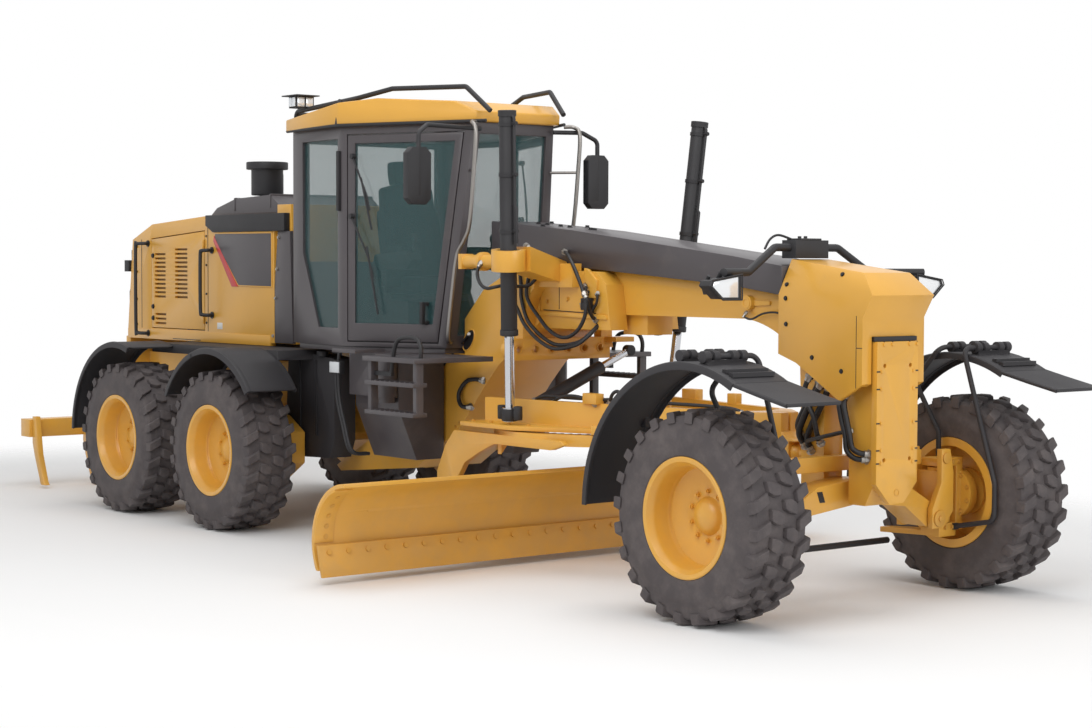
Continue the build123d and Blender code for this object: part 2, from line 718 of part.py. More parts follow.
door_low_z, door_high_z = cab_floor_z + 40, cab_head_z - 70
door_leaf = door_outline(door_low_z, door_high_z, 50, 80)
door_hole = door_outline(door_low_z - door_gap, door_high_z + door_gap, 50 - door_gap, 80 - door_gap)
door_pane = door_outline(door_low_z + 130, door_high_z - 60, 110, 140)


def cab_frame():
    shell = cab_body(0, cab_floor_z, cab_head_z)
    room = cab_body(cab_wall, cab_floor_z + cab_wall, cab_head_z - cab_wall)
    shell = shell - room
    hole = door_slab(door_hole, -60, 120)
    shell = shell - hole - flipped(hole)
    quarter = [(-4960, 2950), (-4380, 2950), (-4380, 1560), (-4700, 1560), (-4960, 2120)]
    for y in (-1000, 600):
        shell = shell - side_plate(quarter, y, y + 400)
    shell = shell - front_plate_shape([(-600, 2950), (600, 2950), (600, 2050), (-600, 2050)],
                                      cab_rear_x - 10, cab_rear_x + cab_wall + 10)
    shell = shell - front_plate_shape([(-300, 2960), (300, 2960), (360, 1520), (-360, 1520)],
                                      -3700, -3000)
    return shell


def cab_glass():
    middle = cab_wall / 2
    outer = cab_body(middle - glass / 2, cab_floor_z + 1, cab_head_z - 1)
    inner = cab_body(middle + glass / 2, cab_floor_z + 1, cab_head_z - 1)
    skin = outer - inner
    quarter = [(-4960, 2950), (-4380, 2950), (-4380, 1560), (-4700, 1560), (-4960, 2120)]
    panes = [skin & side_plate(quarter, y, y + 400) for y in (-1000, 600)]
    panes.append(skin & front_plate_shape([(-600, 2950), (600, 2950), (600, 2050), (-600, 2050)],
                                          cab_rear_x - 10, cab_rear_x + cab_wall + 10))
    panes.append(skin & front_plate_shape([(-300, 2960), (300, 2960), (360, 1520), (-360, 1520)],
                                          -3700, -3000))
    return joined(panes)


def cab_door():
    leaf = door_slab(door_leaf, 0, 45)
    return leaf - door_slab(door_pane, -10, 60)


keep("cab_frame", cab_frame())
keep("cab_glass", cab_glass())
keep("door_right", cab_door())
keep("door_left", flipped(cab_door()))
keep("door_glass_right", door_slab(door_pane, 18, 18 + glass))
keep("door_glass_left", flipped(door_slab(door_pane, 18, 18 + glass)))


def cab_roof():
    plan_body = cab_body(-40, cab_head_z, cab_head_z + 300)
    profile = [(-5250, cab_head_z), (-5250, 3120), (-4300, 3210), (-4000, 3230), (-3400, 3190),
               (-3130, 3070), (-3130, cab_head_z)]
    return plan_body & side_plate(profile, -1500, 1500)


keep("cab_roof", cab_roof())


def operator_seat():
    """Seat on its pedestal with an armrest pod and lever on each side."""
    pedestal = block(-4520, -4180, -180, 180, cab_floor_z + cab_wall, 1800)
    cushion = [curved_side_plate([(-4600, 1800), (-4600, 1920), (-4350, 1945, "arc"),
                                  (-4130, 1915), (-4085, 1860, "arc"), (-4130, 1800)],
                                 -190, 190),
               both(curved_side_plate([(-4600, 1800), (-4600, 1950), (-4350, 1975, "arc"),
                                       (-4150, 1930), (-4100, 1870, "arc"), (-4150, 1800)],
                                      185, 260))]
    back = side_plate([(-4600, 1930), (-4460, 1930), (-4580, 2640), (-4700, 2640)], -240, 240)
    head = side_plate([(-4690, 2640), (-4590, 2640), (-4620, 2820), (-4700, 2820)], -130, 130)
    pod = side_plate([(-4500, 2020), (-4480, 2110), (-4020, 2140), (-3960, 2060), (-4050, 1980)],
                     300, 420)
    strut = block(-4400, -4320, 250, 420, 1860, 2040)
    lever = rod((-4030, 360, 2080), (-4010, 360, 2260), 22)
    wing = side_plate([(-4590, 1930), (-4420, 1930), (-4540, 2480), (-4650, 2600)], 205, 262)
    return joined(pedestal, cushion, back, head, both(joined(pod, strut, lever, wing)))


keep("operator_seat", operator_seat())

mirror_places = [
    # side, x, |y|
    (-1, windscreen_head_x + 200, 980),
    (1, windscreen_head_x + 160, 640),
]


def mirrors():
    pieces = []
    for side, x, y in mirror_places:
        arm_z = 2990
        pieces.append(bent_tube([(windscreen_head_x + 30, side * 330, arm_z),
                                 (windscreen_head_x + 130, side * (y - 120), arm_z),
                                 (x, side * y, arm_z - 60), (x, side * y, 2500)], 16, 50))
        face = [(-95, 2480), (-55, 2440), (55, 2440), (95, 2480), (95, 2790), (55, 2830),
                (-55, 2830), (-95, 2790)]
        pieces.append(front_plate_shape([(side * y + dy, z) for dy, z in face], x - 45, x + 15))
    return joined(pieces)


keep("mirrors", mirrors())


def cab_rails():
    """Roof rail with its raised front, and the work lamps on it."""
    side_rail = bent_tube([(-5200, 640, 3080), (-5200, 640, 3200), (-4250, 700, 3245),
                           (-3950, 600, 3300), (windscreen_head_x - 70, 380, 3290),
                           (windscreen_head_x + 150, 330, 3110)], 18, 50)
    cross = rod((-5200, -640, 3180), (-5200, 640, 3180), 18)
    lamp = block(-5110, -5010, 600, 760, 3215, 3305)
    return joined(both(joined(side_rail, lamp)), cross)


keep("cab_rails", cab_rails())

step_y = 1010


def access_steps():
    """A hanging ladder on each side of the cab."""
    stile = [block(-3610, -3570, step_y - 30, step_y + 30, 985, cab_floor_z - 70),
             block(-3060, -3020, step_y - 30, step_y + 30, 985, cab_floor_z - 70)]
    rungs = [block(-3610, -3020, step_y - 60, step_y + 60, z, z + 30) for z in (985, 1190)]
    deck = floor_plate([(-3640, 500), (-3400, 400), (-3000, 400), (-3000, step_y + 60),
                        (-3640, step_y + 60)], cab_floor_z - 75, cab_floor_z - 40)
    return both(joined(stile, rungs, deck))


keep("access_steps", access_steps())


def under_cab_tanks():
    """Cab platform with a tank hanging under each side."""
    platform = floor_plate([(-5060, -700), (-4310, -780), (-3520, -440), (-3520, 440),
                            (-4310, 780), (-5060, 700)], 1392, cab_floor_z)
    tank = front_plate_shape([(320, 1392), (720, 1392), (720, 1000), (560, 620), (320, 620)],
                             -4250, -3700)
    canister = rod((-3760, 780, 1080), (-3760, 780, cab_floor_z - 40), 80)
    bowl = rod((-3760, 780, 1040), (-3760, 780, 1090), 62)
    battery_box = block(-4230, -3890, 600, 790, 1080, 1394)
    step = block(-4200, -3900, 700, 960, 1392, cab_floor_z - 10)
    return joined(both(joined(tank, canister, bowl, battery_box, step)), platform)


keep("under_cab_tanks", under_cab_tanks())


def lamp_bar():
    """Swan-neck bar over the nose with a headlamp at each end."""
    bar = bent_tube([(-180, -860, 1990), (-330, -520, 1990), (-360, -270, 2140),
                     (-360, 270, 2140), (-330, 520, 1990), (-180, 860, 1990)], 24, 60)
    lamp = front_plate_shape([(760, 1835), (760, 1975), (985, 1942), (1000, 1912), (905, 1835)],
                             -240, -150)
    shroud = front_plate_shape([(790, 1860), (790, 1960), (930, 1940), (900, 1860)], -310, -235)
    box = block(-420, -300, -150, 130, 2075, 2185)
    return joined(bar, both(joined(lamp, shroud)), box)


keep("lamp_bar", lamp_bar())


def between(start, end, share):
    """The point a share of the way between two points."""
    return tuple(a + (b - a) * share for a, b in zip(start, end))


def shift_barrel():
    tube = rod(shift_foot, between(shift_foot, shift_eye, 0.72), 46)
    return tube - rod(between(shift_foot, shift_eye, 0.07), between(shift_foot, shift_eye, 0.8), 26)


def shift_rod():
    return rod(between(shift_foot, shift_eye, 0.27), shift_eye, 25)


keep("shift_cylinder", shift_barrel())
keep("shift_rod", shift_rod())


# ================================================================ rear frame
def rear_frame():
    """Hitch nose, two rails under the engine, rear plate and the axle housing."""
    rails = side_plate([(-5250, 900), (-8200, 900), (-8200, 1250), (-5250, 1250)],
                       rail_half_width - 60, rail_half_width)
    nose = floor_plate([(-4680, -120), (-5300, -rail_half_width), (-5300, rail_half_width),
                        (-4680, 120)], 720, 1220)
    bore = rod((hitch_x, 0, 600), (hitch_x, 0, 1300), hitch_pin_radius + seat_gap)
    rear = block(-8260, -8180, -520, 520, 560, hood_bottom_z - 10)
    housing = rod((rear_axle_x, -640, 720), (rear_axle_x, 640, 720), 170)
    under = block(rear_axle_x - 180, rear_axle_x + 180, -rail_half_width, rail_half_width, 700, 960)
    lug = side_plate([(-8200, 600), (ripper_pivot_x - 60, ripper_pivot_z - 80),
                      (ripper_pivot_x - 60, ripper_pivot_z + 80), (-8200, 900)], 330, 370)
    return joined(both(rails), nose - bore, rear, housing, under, both(lug))


keep("rear_frame", rear_frame())
keep("engine_block", block(-7500, -6200, -330, 330, 1255, 2150))


hood_outline = [(-5680, hood_bottom_z), (-5680, 2430), (-6720, 2430), (-7710, 2370),
                (-8070, 2240), (-8170, 1440), (-8170, hood_bottom_z)]
engine_door = [(-7720, 1480), (-6800, 1480), (-6800, 2300), (-7720, 2240)]
engine_door_gap = 8


def engine_hood():
    """Bonnet shell, open below, with an opening on each side for the engine door."""
    outer = side_plate(hood_outline, -hood_half_width, hood_half_width)
    inside = side_plate([(-5680 - sheet, 1300), (-5680 - sheet, 2400), (-6720, 2400),
                         (-7700, 2340), (-8040, 2215), (-8140, 1300)],
                        -hood_half_width + sheet, hood_half_width - sheet)
    hood = outer - inside
    g = engine_door_gap
    opening = [(-7720 - g, 1480 - g), (-6800 + g, 1480 - g), (-6800 + g, 2300 + g + 1),
               (-7720 - g, 2240 + g)]
    for y in (-700, 400):
        hood = hood - side_plate(opening, y, y + 300)
    riser = side_plate([(-6800, 2425), (-6700, 2490), (-6400, 2560), (-5850, 2580), (-5650, 2450),
                        (-5650, 2425)], -480, 480)
    pillar = side_plate([(-5680, hood_bottom_z), (-5680, 2500), (-5480, 2500), (-5400, 1480),
                         (-5400, hood_bottom_z)], -520, 520)
    panel = side_plate([(-6625, 2292), (-5705, 2290), (-5705, 1842), (-6235, 1848), (-6625, 2205)],
                       hood_half_width - 5, hood_half_width + 8)
    band = side_plate([(-6735, 2425), (-6735, 2350), (-6625, 2296), (-5500, 2296), (-5500, 2425)],
                      hood_half_width - 40, hood_half_width + 20)
    return joined(hood, riser, pillar, both(joined(panel, band)))


keep("engine_hood", engine_hood())
louvre_windows = [
    # rear x, front x, low z, high z
    (-7668, -7472, 1729, 2130),
    (-7306, -7088, 1728, 2170),
    (-7659, -7464, 1499, 1615),
]
louvre_pitch = 36
louvre_slot = 18


def louvred_door():
    """Left engine door, its windows cut into rows of slots."""
    leaf = side_plate(engine_door, hood_half_width - sheet, hood_half_width)
    slots = []
    for rear_x, ahead_x, low_z, high_z in louvre_windows:
        count = round((high_z - low_z) / louvre_pitch)
        for row in range(count):
            z = low_z + (row + 0.25) * (high_z - low_z) / count
            slots.append(block(rear_x, ahead_x, hood_half_width - 2 * sheet,
                               hood_half_width + sheet, z, z + louvre_slot))
    barrels = [rod((engine_door_hinge_x, engine_door_hinge_y, z - 40),
                   (engine_door_hinge_x, engine_door_hinge_y, z + 40), hinge_barrel_radius)
               for z in (1570, 2190)]
    return joined(leaf - slots, barrels)


keep("engine_door_left", louvred_door())
keep("engine_door_right", flipped(louvred_door()))


def rear_guard():
    """Frame behind the radiator with upright bars."""
    frame = block(-8250, -8175, -470, 470, 1500, 2150)
    frame = frame - block(-8260, -8160, -410, 410, 1560, 2090)
    bars = [block(-8235, -8205, y - 14, y + 14, 1550, 2100) for y in range(-300, 301, 120)]
    return joined(frame, bars)


keep("rear_guard", rear_guard())


def air_cleaner():
    body = rod((-6200, -300, 2590), (-6200, -300, 2800), 130)
    cap = rod((-6200, -300, 2800), (-6200, -300, 2860), 170)
    stack = rod((-6900, 200, 2435), (-6900, 200, 2800), 70)
    return joined(body, cap, stack)


keep("air_cleaner", air_cleaner())

tandem_case_outline = [(-7150, 500), (-7150, 740), (-6950, 860), (-6400, 920), (-5850, 920),
                       (-5300, 860), (-5080, 740), (-5080, 500), (-5300, 370), (-6950, 370)]


def tandem_cases():
    case = side_plate(tandem_case_outline, 640, 860)
    stubs = []
    for x in (rear_axle_x + tandem_spacing / 2, rear_axle_x - tandem_spacing / 2):
        stubs.append(rod((x, 850, axle_height), (x, wheel_y + hub_end - spindle_gap, axle_height),
                         spindle_radius))
        stubs.append(rod((x, 850, axle_height), (x, 1000, axle_height), 170))
    cover = [side_plate([(x - 190, 905), (x - 150, 940), (x + 150, 940), (x + 190, 905)], 660, 840)
             for x in (rear_axle_x - 500, rear_axle_x, rear_axle_x + 500)]
    return both(joined(case, stubs, cover))


keep("tandem_cases", tandem_cases())


rear_fender_radius = 780


def rear_fenders():
    """Strips over the rear wheels, the shelf that joins them and the fuel tank at its front."""
    front_x, rear_x = rear_axle_x + tandem_spacing / 2, rear_axle_x - tandem_spacing / 2
    across = (fender_inner_y, fender_outer_y, fender_sheet)
    strips = [arc_band(front_x, rear_fender_radius, 38, 108, *across),
              arc_band(rear_x, rear_fender_radius, 72, 178, *across)]
    shelf_x = (rear_axle_x + 1123, rear_axle_x - 877)
    shelf = block(shelf_x[1], shelf_x[0], 500, fender_inner_y + 5, 1300, 1375)
    tank = side_plate([(rear_axle_x + 773, 1375), (rear_axle_x + 1423, 1315),
                       (rear_axle_x + 1423, 700), (rear_axle_x + 1363, 560),
                       (rear_axle_x + 873, 540), (rear_axle_x + 723, 700)], 430, 620)
    return both(joined(strips, shelf, tank))


keep("rear_fenders", rear_fenders())


def ripper():
    """Ripper: two arms, the cross beam and its shanks."""
    arm = side_plate([(ripper_pivot_x + 60, ripper_pivot_z - 40),
                      (ripper_pivot_x + 60, ripper_pivot_z + 40),
                      (ripper_beam_x, ripper_beam_high_z + 30),
                      (ripper_beam_x, ripper_beam_low_z + 10)], 376, 420)
    face_x = ripper_beam_x + 90
    beam = block(-rear_reach, face_x, -ripper_half_width, ripper_half_width,
                 ripper_beam_low_z, ripper_beam_high_z)
    shanks = [side_plate([(face_x + 10, 640), (face_x + 70, 640), (face_x + 130, 300),
                          (face_x + 230, 60), (face_x + 260, 30), (face_x + 170, 30),
                          (face_x + 50, 280), (face_x + 5, 400)], y - 25, y + 25)
              for y in (-1000, -500, 0, 500, 1000)]
    tow_bore = rod((ripper_beam_x, 0, 400), (ripper_beam_x, 0, 700), tow_pin_radius)
    return joined(both(arm), beam - tow_bore, shanks)


keep("ripper", ripper())
ripper_top = (ripper_cyl_x, 0, ripper_cyl_z)
ripper_pin = (ripper_pin_x, 0, ripper_pin_z)
keep("ripper_cylinder", rod(ripper_top, between(ripper_top, ripper_pin, 0.6), 50)
     - rod(between(ripper_top, ripper_pin, 0.1), between(ripper_top, ripper_pin, 0.7), 26))
keep("ripper_rod", rod(between(ripper_top, ripper_pin, 0.3), ripper_pin, 25))


# ================================================================ export
for name, shape in nodes.items():
    moved = Pos(front_to_origin, 0, 0) * shape
    export_step(moved, os.path.join("parts", name + ".step"))
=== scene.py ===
"""Motor grader: paint, rubber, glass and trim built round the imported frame."""
import json
import math

import bmesh
import bpy
from mathutils import Matrix, Vector

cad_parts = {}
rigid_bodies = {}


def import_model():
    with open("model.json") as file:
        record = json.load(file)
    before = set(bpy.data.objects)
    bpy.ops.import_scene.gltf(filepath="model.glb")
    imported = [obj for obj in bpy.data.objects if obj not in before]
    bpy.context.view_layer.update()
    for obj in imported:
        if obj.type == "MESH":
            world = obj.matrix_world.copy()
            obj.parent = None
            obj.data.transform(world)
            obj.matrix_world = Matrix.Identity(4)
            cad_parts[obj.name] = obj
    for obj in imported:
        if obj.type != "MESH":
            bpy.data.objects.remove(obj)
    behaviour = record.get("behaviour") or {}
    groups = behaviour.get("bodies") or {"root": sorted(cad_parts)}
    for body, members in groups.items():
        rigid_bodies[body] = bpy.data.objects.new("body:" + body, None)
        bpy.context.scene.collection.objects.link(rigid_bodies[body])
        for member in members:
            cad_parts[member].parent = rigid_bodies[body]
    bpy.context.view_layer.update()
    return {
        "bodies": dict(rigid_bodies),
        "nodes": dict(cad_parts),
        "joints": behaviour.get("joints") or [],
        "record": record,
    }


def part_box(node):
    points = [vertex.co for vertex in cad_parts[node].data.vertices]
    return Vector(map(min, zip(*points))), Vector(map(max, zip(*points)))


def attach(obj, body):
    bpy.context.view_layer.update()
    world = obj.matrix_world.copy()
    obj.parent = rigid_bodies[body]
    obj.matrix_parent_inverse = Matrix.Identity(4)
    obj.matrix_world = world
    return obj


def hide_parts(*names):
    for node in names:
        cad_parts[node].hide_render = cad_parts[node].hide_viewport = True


bl_info = {
    "name": "Motor grader",
    "version": (1, 0, 0),
    "blender": (4, 5, 0),
    "location": "View3D > Sidebar > Grader",
    "description": "Builds the looks of a motor grader round its frame",
    "category": "Add Mesh",
}

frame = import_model()
joints = {joint["name"]: joint for joint in frame["joints"]}
FRONT_X, _, AXLE_Z = joints["spin_front_left"]["pos_m"]
TYRE_RADIUS = (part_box("tyre_front_left")[1][2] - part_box("tyre_front_left")[0][2]) / 2
TYRE_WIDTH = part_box("tyre_front_left")[1][1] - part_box("tyre_front_left")[0][1]
# distances from the front axle and the middle of the machine, in metres
REAR_X = -6.123          # middle of the tandems
TANDEM_HALF = 0.7615     # from there to either tandem axle
BONNET_SIDE = 0.55
NOSE_FACE = 0.39
BEAM_SIDE = 0.30
BLADE_END = 2.1325
SEAT_LEAN = -0.165       # in radians
WHEELS = [name[len("wheel_"):] for name in frame["bodies"] if name.startswith("wheel_")]


def at(x, y, z):
    """A point given from the front axle, where the ground is at zero."""
    return Vector((FRONT_X + x, y, z))


def wheel_centre(name):
    """Middle of a wheel at rest."""
    return Vector(joints["spin_" + name]["pos_m"])


# ---------------------------------------------------------------- shader maths
class Value:
    """A shader socket that adds Math nodes when it is used in arithmetic."""

    def __init__(self, finish, socket):
        self.finish = finish
        self.socket = socket

    def maths(self, operation, *others):
        values = [self.socket] + [o.socket if isinstance(o, Value) else o for o in others]
        return self.finish.add("ShaderNodeMath", {"operation": operation}, values)

    def __add__(self, other):
        return self.maths("ADD", other)

    def __mul__(self, other):
        return self.maths("MULTIPLY", other)

    def __rsub__(self, other):
        return self.maths("MULTIPLY", -1.0).maths("ADD", other)

    __radd__ = __add__
    __rmul__ = __mul__


class Finish:
    """A material under construction."""

    def __init__(self, name):
        self.material = bpy.data.materials.new(name)
        self.material.use_nodes = True
        self.tree = self.material.node_tree
        self.shader = self.tree.nodes["Principled BSDF"]
        self.place = self.add("ShaderNodeTexCoord", output="Object")

    def add(self, kind, settings=None, values=(), output=0, stops=None):
        """Any node: its settings first, then its sockets by place or name; gives back one output."""
        node = self.tree.nodes.new(kind)
        for key, value in (settings or {}).items():
            setattr(node, key, value)
        if stops:
            ramp = node.color_ramp
            while len(ramp.elements) < len(stops):
                ramp.elements.new(1.0)
            for element, (position, colour) in zip(ramp.elements, stops):
                element.position = position
                element.color = colour
        pairs = values.items() if isinstance(values, dict) else enumerate(values)
        for key, value in pairs:
            if value is None:
                continue
            source = value.socket if isinstance(value, Value) else value
            if isinstance(source, bpy.types.NodeSocket):
                self.tree.links.new(source, node.inputs[key])
            else:
                node.inputs[key].default_value = source
        return Value(self, node.outputs[output])

    def mapped(self, scale):
        """Object coordinates, stretched."""
        values = {"Vector": self.place, "Scale": scale}
        return self.add("ShaderNodeMapping", None, values)

    def axis(self, letter):
        """One coordinate of the piece's own place."""
        return self.add("ShaderNodeSeparateXYZ", None, [self.place], output="XYZ".index(letter))

    def noise(self, scale, detail=3.0, rough=0.5, vector=None):
        values = {"Vector": vector or self.place, "Scale": scale, "Detail": detail, "Roughness": rough}
        return self.add("ShaderNodeTexNoise", None, values, output="Fac")

    def ramp(self, value, low, high):
        """0 below low, 1 above high, smooth between."""
        values = {"Value": value, "From Min": low, "From Max": high}
        return self.add("ShaderNodeMapRange", {"interpolation_type": "SMOOTHSTEP"}, values)

    def blend(self, share, first, second):
        """Two colours mixed."""
        def colour(value):
            return value if isinstance(value, Value) else (*value, 1.0)
        values = {0: share, 6: colour(first), 7: colour(second)}
        return self.add("ShaderNodeMix", {"data_type": "RGBA"}, values, output=2)

    def bump(self, height, depth, strength=1.0):
        """Bump of a height in metres."""
        values = {"Height": height, "Distance": depth, "Strength": strength}
        return self.add("ShaderNodeBump", None, values)

    def set(self, **sockets):
        for key, value in sockets.items():
            socket = self.shader.inputs[key.replace("_", " ").title().replace("Ior", "IOR")]
            if isinstance(value, Value):
                self.tree.links.new(value.socket, socket)
            elif isinstance(value, tuple) and len(value) == 3:
                socket.default_value = (*value, 1.0)
            else:
                socket.default_value = value
        return self.material


def linear(red, green, blue):
    """A screen colour in 0 to 255 as the scene's linear colour."""
    def one(c):
        c /= 255
        return c / 12.92 if c <= 0.04045 else ((c + 0.055) / 1.055) ** 2.4
    return (one(red), one(green), one(blue))


def painted(name, colour, dust, rough=0.38, dust_share=0.14, coat=0.35):
    """Machine enamel with a faint cloud in its colour and dust low down."""
    f = Finish(name)
    cloud = f.noise(2.2, 4.0)
    speck = f.noise(90.0, 2.0)
    low = 1.0 - f.ramp(f.axis("Z"), 0.25, 1.5)
    grime = f.ramp(f.noise(5.5, 6.0, 0.62) + low * 0.22, 0.55, 0.85) * dust_share
    shade = f.blend(f.ramp(cloud, 0.3, 0.75), tuple(c * 0.93 for c in colour), colour)
    base = f.blend(grime, shade, dust)
    peel = f.noise(160.0, 2.0, 0.5)
    return f.set(base_color=base, roughness=rough + grime * 0.35 + speck * 0.06,
                 coat_weight=coat, coat_roughness=0.22, normal=f.bump(peel, 0.0002, 0.5))


def plastic(name, colour, rough=0.55, grain=320.0, depth=0.0004):
    """Grained moulded plastic or powder coat."""
    f = Finish(name)
    grain_height = f.noise(grain, 3.0, 0.6)
    cloud = f.ramp(f.noise(3.0, 4.0), 0.3, 0.8)
    base = f.blend(cloud, tuple(c * 0.85 for c in colour), colour)
    return f.set(base_color=base, roughness=rough + cloud * 0.1, normal=f.bump(grain_height, depth, 0.6))


def rubber(name, colour, dusty):
    """Tyre rubber, paler where it has rolled."""
    f = Finish(name)
    dust = f.ramp(f.noise(7.0, 6.0, 0.65), 0.35, 0.8)
    base = f.blend(dust * 0.6, colour, dusty)
    grain = f.noise(240.0, 3.0, 0.6)
    return f.set(base_color=base, roughness=0.72 + dust * 0.15, normal=f.bump(grain, 0.0006, 0.6))


def metal(name, colour, rough=0.25, streak=60.0):
    """Bare or plated metal with fine turning marks."""
    f = Finish(name)
    marks = f.noise(streak, 4.0, 0.6, f.mapped((1, 1, 14)))
    return f.set(base_color=f.blend(marks, tuple(c * 0.85 for c in colour), colour),
                 roughness=rough + marks * 0.12, metallic=1.0)


finishes = {}


def make_finishes(colours):
    yellow = tuple(colours.yellow)
    grey = tuple(colours.grey)
    dust = linear(168, 142, 104)
    finishes["yellow"] = painted("yellow enamel", yellow, dust)
    finishes["grey"] = painted("dark grey enamel", grey, linear(104, 98, 94), 0.45, 0.3, 0.2)
    finishes["black"] = plastic("black powder coat", tuple(colours.black))
    finishes["fender"] = plastic("fender plastic", tuple(colours.fender), 0.6, 180.0, 0.0005)
    finishes["rubber"] = rubber("tyre rubber", tuple(colours.tyre), linear(112, 104, 102))
    finishes["hose"] = plastic("hose rubber", linear(24, 23, 26), 0.45, 500.0)
    finishes["steel"] = metal("bare steel", linear(150, 146, 142), 0.35)
    finishes["chrome"] = metal("ground rod", linear(205, 206, 210), 0.12, 30.0)
    finishes["zinc"] = metal("zinc fastener", linear(168, 164, 158), 0.35)
    finishes["edge"] = painted("cutting edge", linear(214, 158, 62), dust, 0.5, 0.2, 0.1)
    finishes["iron"] = painted("engine iron", linear(70, 68, 66), dust, 0.6, 0.3, 0.0)
    finishes["cloth"] = plastic("seat cloth", linear(34, 33, 38), 0.85, 260.0, 0.001)
    finishes["plate"] = painted("blank plate", linear(226, 226, 222), dust, 0.5, 0.15)
    finishes["stripe"] = painted("red stripe", linear(196, 40, 38), dust, 0.4, 0.1)
    finishes["mesh"] = grille_finish(linear(176, 140, 84))
    finishes["glass"] = glass_finish(tuple(colours.glass))
    finishes["lens"] = lens_finish()


def grille_finish(colour):
    """Painted perforated sheet; its holes are coloured near black as painted shade behind the sheet."""
    f = Finish("grille mesh")
    cells = f.add("ShaderNodeTexVoronoi", {"voronoi_dimensions": "3D"},
                  {"Vector": f.place, "Scale": 85.0, "Randomness": 0.0}, output="Distance")
    # where the cells open, the colour falls to 12 per cent of the sheet's: painted shade in the holes
    hole = 1.0 - f.ramp(cells, 0.28, 0.42)
    base = f.blend(hole, colour, tuple(c * 0.12 for c in colour))
    return f.set(base_color=base, roughness=0.6, normal=f.bump(cells, 0.002, 0.8))


def glass_finish(tint):
    """Tinted cab glass: mostly see-through, with a clear shine."""
    f = Finish("tinted glass")
    haze = f.noise(3.0, 3.0)
    f.material.surface_render_method = "BLENDED"
    return f.set(base_color=tint, roughness=0.03 + haze * 0.03, alpha=0.3, specular_ior_level=0.7)


def lens_finish():
    """Lamp lens with a lattice of small prisms; the prisms' bands are coloured lighter and darker in turn
    as painted glints.
    """
    f = Finish("lamp lens")
    ribs = f.add("ShaderNodeTexWave", {"wave_type": "BANDS"}, {"Vector": f.place, "Scale": 26.0})
    # the bands of pale grey and white follow the prisms: painted glints, while the bump gives their shape
    base = f.blend(ribs, linear(214, 220, 226), linear(246, 248, 250))
    return f.set(base_color=base, roughness=0.12, metallic=0.35, normal=f.bump(ribs, 0.002, 0.8))


